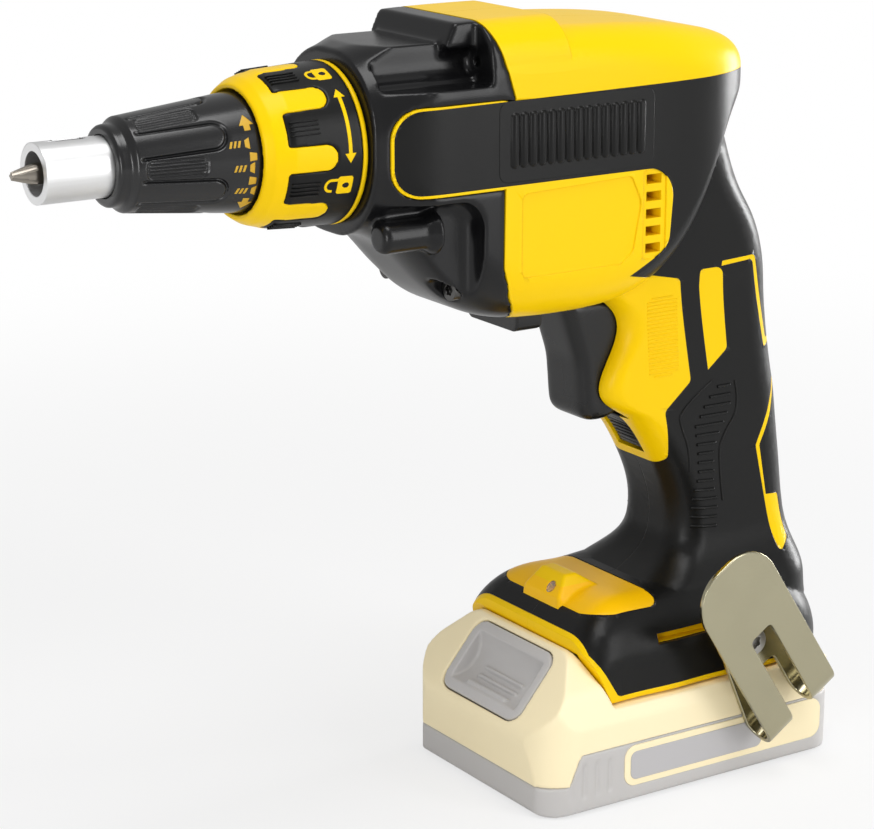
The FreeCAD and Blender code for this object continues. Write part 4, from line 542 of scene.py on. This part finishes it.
def sunk(along, radius, turn):
    """How deep the channels round the fingers and the ribbed pads lie below the cone."""
    half_angle = finger_angle / 2.0
    off_finger = abs((math.degrees(turn) + half_angle) % finger_angle - half_angle)
    past = max(0.0, along - finger_centre)
    edge = math.hypot(math.radians(off_finger) * radius, past) - finger_half
    channel = channel_deep * math.exp(-((edge - channel_middle) / channel_wide) ** 2)
    channel *= eased(along, cone_front, cone_front + channel_fade)
    off_pad = math.radians(half_angle - off_finger) * radius
    out_x = abs(along - pad_middle) - pad_length / 2.0 + pad_round
    out_y = off_pad - pad_across / 2.0 + pad_round
    inside = pad_round - math.hypot(max(out_x, 0.0), max(out_y, 0.0)) - min(max(out_x, out_y), 0.0)
    ridge = ridge_high * (0.5 + 0.5 * math.cos(2.0 * math.pi * off_pad / ridge_pitch))
    ridge *= eased(inside, ridge_start, ridge_full)
    return max(channel, pad_deep * eased(inside, pad_lip, pad_floor) - ridge)


cone_count = round((cone_rear - cone_front) / cone_step)
profile = [(-178.5, 8.65), (-178.5, 9.6), (-178.5, 10.2), (-178.25, 10.75), (-177.75, 11.08), (-177.0, 11.2),
           (-175.7, 11.2), (-175.25, 11.32), (-174.85, 11.65), (-174.45, 12.15), (-174.05, 12.65),
           (-173.7, 12.92)]
profile += [(cone_front + cone_step * step, cone_radius + sleeve_slope * cone_step * step)
            for step in range(cone_count + 1)]
profile += [(-135.0, 16.6), (-124.6, 16.6), (-124.6, 13.55), (-137.0, 13.55), (-150.35, 13.55),
            (-150.35, 8.65), (-164.0, 8.65), (-178.5, 8.65)]
bpy.ops.object.select_all(action="DESELECT")
bpy.ops.mesh.primitive_grid_add(x_subdivisions=len(profile) - 1, y_subdivisions=sleeve_around, size=2.0)
sleeve = bpy.context.object
for corner in sleeve.data.vertices:
    along, radius = profile[round((corner.co.x + 1.0) / 2.0 * (len(profile) - 1))]
    turn = (corner.co.y + 1.0) * math.pi
    if cone_front <= along <= cone_rear and radius > cone_radius - 0.001:
        radius -= sunk(along, radius, turn)
    corner.co = (along * mm, -radius * mm * math.sin(turn), nose_axis + radius * mm * math.cos(turn))
bpy.ops.object.mode_set(mode="EDIT")
bpy.ops.mesh.select_all(action="SELECT")
bpy.ops.mesh.remove_doubles(threshold=weld)
bpy.ops.object.mode_set(mode="OBJECT")
faced_outwards()
finished(sleeve, "sleeve_shell", sleeve_black, "sleeve", angle=soft_crease)
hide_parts("depth_sleeve")
ink_below, ink_thick, ink_cuts = 0.0001, 0.00017, 7


def printed(name, marks, cone, finish, body):
    """Printed shapes on the nose: each mark is its place along X, its angle from the top and outlines in mm.

    The cone that they lie on is a place along X, its radius there and its slope.
    """
    start, start_radius, slope = cone
    layers = []
    for place, angle, outlines in marks:
        for outline in outlines:
            flat = [(place + along * mm, across * mm, -ink_below) for along, across in outline]
            layer = slab(flat, (0.0, 0.0, ink_thick), cuts=ink_cuts)
            for corner in layer.data.vertices:
                along, across, lift = corner.co
                reach = start_radius + slope * (along - start) + lift
                turn = math.radians(angle) + across / reach
                corner.co = (along, -reach * math.sin(turn), nose_axis + reach * math.cos(turn))
            faced_outwards()
            layers.append(layer)
    only(*layers)
    bpy.ops.object.join()
    return finished(bpy.context.object, name, finish, body)


ink_gold = moulded("ink_gold", (0.62, 0.36, 0.012, 1.0), (0.70, 0.42, 0.03, 1.0), roughness=0.45,
                   grain=3000.0, depth=0.00001)
arrow_up = [[(0.0, -2.6), (2.1, 0.6), (0.9, 0.6), (0.9, 2.2), (-0.9, 2.2), (-0.9, 0.6), (-2.1, 0.6)]]
arrow_down = [[(along, -across) for along, across in arrow_up[0]]]
tiny_screw = [[(1.5, -0.9), (2.9, -1.6), (2.9, 1.6), (1.5, 0.9)]]
tiny_screw += [[(back - 0.5, 0.9), (back + 0.2, 0.9), (back + 0.8, -0.9), (back + 0.1, -0.9)]
               for back in (-2.6, -1.4, -0.2)]
board_mark = [[(-0.5, -1.2), (1.6, -0.8), (1.6, 1.1), (-0.5, 1.3)]]
printed("sleeve_marks",
        ((-0.1419, 52.0, arrow_up), (-0.1451, 72.0, tiny_screw), (-0.1420, 84.5, board_mark),
         (-0.1440, 95.5, tiny_screw), (-0.1420, 108.0, board_mark), (-0.1429, 119.5, tiny_screw),
         (-0.1419, 137.0, arrow_down)),
        (-0.1737, 0.0130, sleeve_slope), ink_gold, "sleeve")


# Lock collar.  A yellow nylon ring whose fingers stand between soft black pads; a part turn frees the nose.
# Its rear band carries printed marks for locked and free, with an arrow between them.
dressed("lock_collar", yellow, "collar", soften=(0.0004, 4))
dressed("lock_collar_grip", rubber, "collar", soften=(0.0004, 3))
collar_start, collar_radius, collar_slope = -0.1312, 0.0218, 0.0549
bar_front, bar_rear, bar_radius = -0.1322, -0.1235, 0.0220
bar_count, bar_pitch, bar_wide, bar_high = 4, 0.00125, 0.0004, 0.0008
collar_pads, first_pad = 8, 22.5
bpy.ops.object.select_all(action="DESELECT")
bpy.ops.mesh.primitive_cube_add(size=1.0)
bar = bpy.context.object
bar_place = ((bar_front + bar_rear) / 2.0, -bar_pitch * (bar_count - 1) / 2.0, nose_axis + bar_radius)
bar.matrix_world = (Matrix.Translation(bar_place) @ Matrix.Rotation(-math.atan(collar_slope), 4, "Y")
                    @ Matrix.Diagonal((bar_rear - bar_front, bar_wide, bar_high, 1.0)))
bpy.ops.object.transform_apply(location=True, rotation=True, scale=True)
applied(bar, "BEVEL", width=bar_wide * 0.4, segments=2)
repeated(bar, bar_count, (0.0, bar_pitch, 0.0))
bars = [bar]
for index in range(1, collar_pads):
    only(bar)
    bpy.ops.object.duplicate()
    bars.append(bpy.context.object)
to_axis = Matrix.Translation((0.0, 0.0, nose_axis))
for index, ribs in enumerate(bars):
    pad_turn = Matrix.Rotation(math.radians(first_pad + 360.0 * index / collar_pads), 4, "X")
    ribs.matrix_world = to_axis @ pad_turn @ to_axis.inverted()
only(*bars)
bpy.ops.object.transform_apply(location=True, rotation=True, scale=True)
bpy.ops.object.join()
finished(bpy.context.object, "collar_ribs", rubber, "collar")
lock_body = [(-2.3, -2.2), (-1.8, -2.7), (1.8, -2.7), (2.3, -2.2),
             (2.3, 2.2), (1.8, 2.7), (-1.8, 2.7), (-2.3, 2.2)]
bow_outer, bow_inner, bow_middle, leg_end = 2.1, 1.3, -2.9, -2.0


def shackle(shift, short):
    """Bent bar of a padlock, moved out of its body by shift, with one leg cut short."""
    bend = [math.radians(90.0 + 15.0 * step) for step in range(13)]
    middle = bow_middle - shift
    outer = [(bow_outer * math.cos(turn) + middle, bow_outer * math.sin(turn)) for turn in bend]
    inner = [(bow_inner * math.cos(turn) + middle, bow_inner * math.sin(turn)) for turn in reversed(bend)]
    return ([(leg_end - short, bow_outer)] + outer + [(leg_end, -bow_outer), (leg_end, -bow_inner)]
            + inner + [(leg_end - short, bow_inner)])


lock_angle, arrow_angle, free_angle = 24.0, 68.0, 111.0
long_arrow = [[(0.0, -10.7), (1.7, -8.0), (0.55, -8.0), (0.55, 8.0), (1.7, 8.0), (0.0, 10.7),
               (-1.7, 8.0), (-0.55, 8.0), (-0.55, -8.0), (-1.7, -8.0)]]
printed("collar_marks",
        ((-0.1160, lock_angle, [lock_body, shackle(0.0, 0.0)]), (-0.1149, arrow_angle, long_arrow),
         (-0.1160, free_angle, [lock_body, shackle(1.3, 1.7)])),
        (collar_start, collar_radius, collar_slope), yellow, "collar")
keyhole = [[(-0.9, -0.3), (-0.2, -0.8), (0.6, -0.8), (1.1, -0.3),
            (1.1, 0.3), (0.6, 0.8), (-0.2, 0.8), (-0.9, 0.3)]]
second_layer = 0.00003
printed("collar_keyholes", ((-0.1159, lock_angle, keyhole), (-0.1159, free_angle, keyhole)),
        (collar_start, collar_radius + second_layer, collar_slope), rubber, "collar")


# Trigger and buttons.  Black acetal that the finger has polished, sliding in the halves.
# The direction bar goes through the head above the trigger; the lock-on button is in the front of the grip.
trigger_black = moulded("trigger_black", (0.007, 0.007, 0.007, 1.0), (0.022, 0.022, 0.022, 1.0),
                        roughness=0.27, grain=1500.0, depth=0.00003, shine=0.36)
dressed("trigger", trigger_black, "trigger", soften=(0.0005, 90))
dressed("direction_button", trigger_black, "direction", soften=(0.0004, 6))
dressed("lock_button", trigger_black, "lock_on", soften=(0.0004, 6))


# Lock-on cap.  The ribbed face of the lock-on button, level with the yellow frame round it.
# It is moulded with the button in the same acetal, and goes in with it.
cap_side = [(2.9, 99.6), (-0.3, 99.6), (-2.2, 103.0), (-5.0, 107.0), (-8.3, 110.6), (-7.6, 111.3),
            (-0.8, 111.3)]
cap_half, cap_rounding = 0.0060, 0.0007
cap = slab([(along * mm, -cap_half, height * mm) for along, height in cap_side], (0.0, cap_half * 2.0, 0.0))
applied(cap, "BEVEL", width=cap_rounding, segments=3)
finished(cap, "lock_cap", trigger_black, "lock_on")
cap_rib_count, cap_rib_half, cap_rib_radius = 7, 0.0044, 0.0005
cap_rib_first, cap_rib_step = (-0.0008, 0.0, 0.1010), (-0.00098, 0.0, 0.00140)
crosswise = Matrix.Translation(cap_rib_first) @ Matrix.Rotation(math.radians(90.0), 4, "X")
cap_rib = round_rib((cap_rib_radius, cap_rib_radius, cap_rib_radius), cap_rib_half, crosswise,
                    segments=16, rings=10)
repeated(cap_rib, cap_rib_count, cap_rib_step)
finished(cap_rib, "lock_cap_ribs", trigger_black, "lock_on")


# Light.  A yellow nylon cover over the foot's front, with a raised hood that is clipped in from above.
# A clear acrylic lens fills the hole in the hood, and a small board with the lamp sits behind it.
lens_clear, lens_shader, lens_tint, lens_place = new_finish("lens_clear")
lens_waves = lens_tint.node("TexNoise", Vector=lens_place, Scale=900.0)
feed(lens_shader, Base_Color=(0.92, 0.95, 0.97, 1.0), Transmission_Weight=0.85,
     Roughness=lens_waves * 0.10 + 0.04)
light_yellow = moulded("light_yellow", (1.0, 0.56, 0.001, 1.0), (1.0, 0.62, 0.01, 1.0), roughness=0.32,
                       grain=2600.0, depth=0.00004, shine=0.2)
light_cover = dressed("light_cover", light_yellow, "tool", soften=(0.0004, 6))
light_cover.data.materials.append(yellow)
hood_foot = 0.0610
for face in light_cover.data.polygons:
    face.material_index = 1 if face.center.z > hood_foot else 0
dressed("light_lens", lens_clear, "tool")
dressed("light_board", circuit_green, "tool")


# Belt hook.  Spring steel sheet with a pale yellow plate, blanked and bent round so a belt slides behind it.
# Its edges are tumbled smooth, and one screw holds it to the boss on the foot.
hook_plate = metal("hook_plate", (0.42, 0.39, 0.27, 1.0), roughness=0.22, brush=420.0, depth=0.000004,
                   stretch=(1.0, 1.0, 5.0), patina=0.15)
dressed("belt_hook", hook_plate, "tool", chamfer=0.0004)
hook_screw = dressed("belt_hook_screw", screw_zinc, "tool")
hook_head = (0.0165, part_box("belt_hook_screw")[0][1], 0.0440)
hook_star_across, hook_star_deep = 0.0042, 0.0014
recess_heads(hook_screw, [hook_head], "X", hook_star_across, hook_star_deep)


# Pack.  Two pale shells round the cells, joined by screws from below, with rails and contact slots on top.
# The front slope holds the release button, and a bare panel is let into each side.
pack_cream = moulded("pack_cream", (1.0, 0.87, 0.57, 1.0), (1.0, 0.92, 0.66, 1.0), roughness=0.45,
                     grain=2400.0, depth=0.00004)
pack_grey = moulded("pack_grey", (0.54, 0.525, 0.515, 1.0), (0.60, 0.585, 0.575, 1.0), roughness=0.45,
                    grain=2400.0, depth=0.00004)
panel_grey = moulded("panel_grey", (0.50, 0.49, 0.50, 1.0), (0.55, 0.54, 0.55, 1.0), roughness=0.55,
                     grain=3200.0, depth=0.00004)
cell_sleeve = moulded("cell_sleeve", (0.02, 0.10, 0.22, 1.0), (0.05, 0.16, 0.30, 1.0), roughness=0.3,
                      grain=900.0, depth=0.00003)
contact_brass = metal("contact_brass", (0.60, 0.42, 0.16, 1.0), roughness=0.28, brush=600.0, depth=0.00001)
for node, finish, body in (
        ("pack_cells", cell_sleeve, "pack"), ("pack_terminals", contact_brass, "pack"),
        ("pack_screws", screw_zinc, "pack"), ("pack_labels", pack_cream, "pack")):
    dressed(node, finish, body)
release_spring = dressed("release_spring", spring_wire, None)
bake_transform(release_spring)
dressed("pack_upper_shell", pack_cream, "pack", soften=(0.0005, 5))
dressed("pack_lower_shell", pack_grey, "pack", soften=(0.0006, 3))
dressed("pack_release_button", pack_grey, "release", soften=(0.0004, 8))
label_low, label_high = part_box("pack_labels")
front_border, rear_border, level_border = 0.0022, 0.0240, 0.0020
field_front, field_rear = label_low[0] + front_border, label_high[0] - rear_border
field_low, field_high = label_low[2] + level_border, label_high[2] - level_border
field_corner, field_below, field_thick = 0.0022, 0.0001, 0.0003
for side, name in sides:
    field_face = side * (label_high[1] - field_below)
    field_corners = upright(field_front, field_rear, field_low, field_high, field_face)
    field = slab(field_corners, (0.0, side * field_thick, 0.0), rounding=field_corner, segments=5)
    finished(field, "label_field_" + name, panel_grey, "pack")


# Studio.  A pale floor that runs out to white, one soft lamp overhead and three more round the sides.
# The camera stands at the left front, a little above the tool.
floor_size, floor_drop = 8.0, 0.0005
bpy.ops.object.select_all(action="DESELECT")
bpy.ops.mesh.primitive_plane_add(size=floor_size, location=(0.0, 0.0, -floor_drop))
floor = bpy.context.object
floor.name = "floor"
floor_paint, floor_shader, floor_tint, floor_place = new_finish("floor_paint")
floor_noise = floor_tint.node("TexNoise", Vector=floor_place, Scale=40.0)
feed(floor_shader, Base_Color=(0.80, 0.80, 0.80, 1.0), Roughness=floor_noise * 0.1 + 0.6)


def seen_by(tint, ray):
    """1 for this kind of ray and 0 for others."""
    return tint.node("LightPath", out="Is " + ray + " Ray")


def distance(place):
    """Distance from the middle of the floor."""
    return place.node("VectorMath", {"operation": "LENGTH"}, out="Value", at0=place)


near_shade, shade_start, shade_end = 0.70, 0.22, 0.75
card_start, card_end, card_stretch = 0.28, 0.55, (1.6, 0.6, 1.0)
far = between(distance(floor_place), shade_start, shade_end)
looked_at = seen_by(floor_tint, "Camera") * (far * (1.0 - near_shade) + near_shade)
beside = floor_tint.node("Mapping", Vector=floor_place, Scale=card_stretch)
cards = between(distance(beside), card_start, card_end)
mirrored = (seen_by(floor_tint, "Glossy") + seen_by(floor_tint, "Transmission")) * cards
white = floor_tint.node("Emission", Color=(1.0, 1.0, 1.0, 1.0), Strength=1.0)
lit = Tint(floor_paint.node_tree, floor_shader.outputs[0])
whiteness = floor_tint.maths("MINIMUM", looked_at + mirrored, 1.0)
paint = floor_tint.node("MixShader", at0=whiteness, at1=lit, at2=white)
feed(floor_paint.node_tree.nodes["Material Output"], Surface=paint)
floor.data.materials.append(floor_paint)

scene = bpy.context.scene
scene.view_settings.view_transform = "Standard"
world = bpy.data.worlds.new("studio")
scene.world = world
world.use_nodes = True
world_tint = Tint(world.node_tree)
room_light, room_mirrored = 0.40, 0.15
shown = (seen_by(world_tint, "Camera") + seen_by(world_tint, "Transmission")) * (1.0 - room_light)
shown = shown + seen_by(world_tint, "Glossy") * room_mirrored + room_light
feed(world.node_tree.nodes["Background"], Color=(1.0, 1.0, 1.0, 1.0),
     Strength=world_tint.maths("MINIMUM", shown, 1.0))


def soft_light(name, place, aim, wide, tall, power):
    """An oblong lamp pointed at a place."""
    lamp = bpy.data.lights.new(name, "AREA")
    lamp.shape = "RECTANGLE"
    lamp.size = wide
    lamp.size_y = tall
    lamp.energy = power
    holder = bpy.data.objects.new(name, lamp)
    scene.collection.objects.link(holder)
    holder.location = place
    away = holder.location - aim
    holder.rotation_euler = away.to_track_quat("Z", "Y").to_euler()
    holder.visible_camera = False


middle = Vector((-0.06, 0.0, 0.13))
soft_light("overhead", (-0.1, -0.2, 1.1), middle, wide=0.5, tall=0.5, power=4.6)
soft_light("left_front", (-0.95, -0.70, 0.32), middle, wide=0.2, tall=0.6, power=3.4)
soft_light("right_front", (0.36, -0.78, 0.42), middle, wide=0.22, tall=0.8, power=2.9)
soft_light("right_back", (0.90, 0.05, 0.22), middle, wide=0.2, tall=0.4, power=4.5)

film_width, photo_width, focal_pixels = 36.0, 874.0, 2740.0
eye_place, eye_tilt, eye_turn = (-0.49668, -0.64864, 0.33647), 74.4, -33.2
eye = bpy.data.cameras.new("eye")
eye.sensor_width = film_width
eye.lens = film_width * focal_pixels / photo_width
camera = bpy.data.objects.new("eye", eye)
scene.collection.objects.link(camera)
camera.location = eye_place
camera.rotation_euler = (math.radians(eye_tilt), 0.0, math.radians(eye_turn))
scene.camera = camera
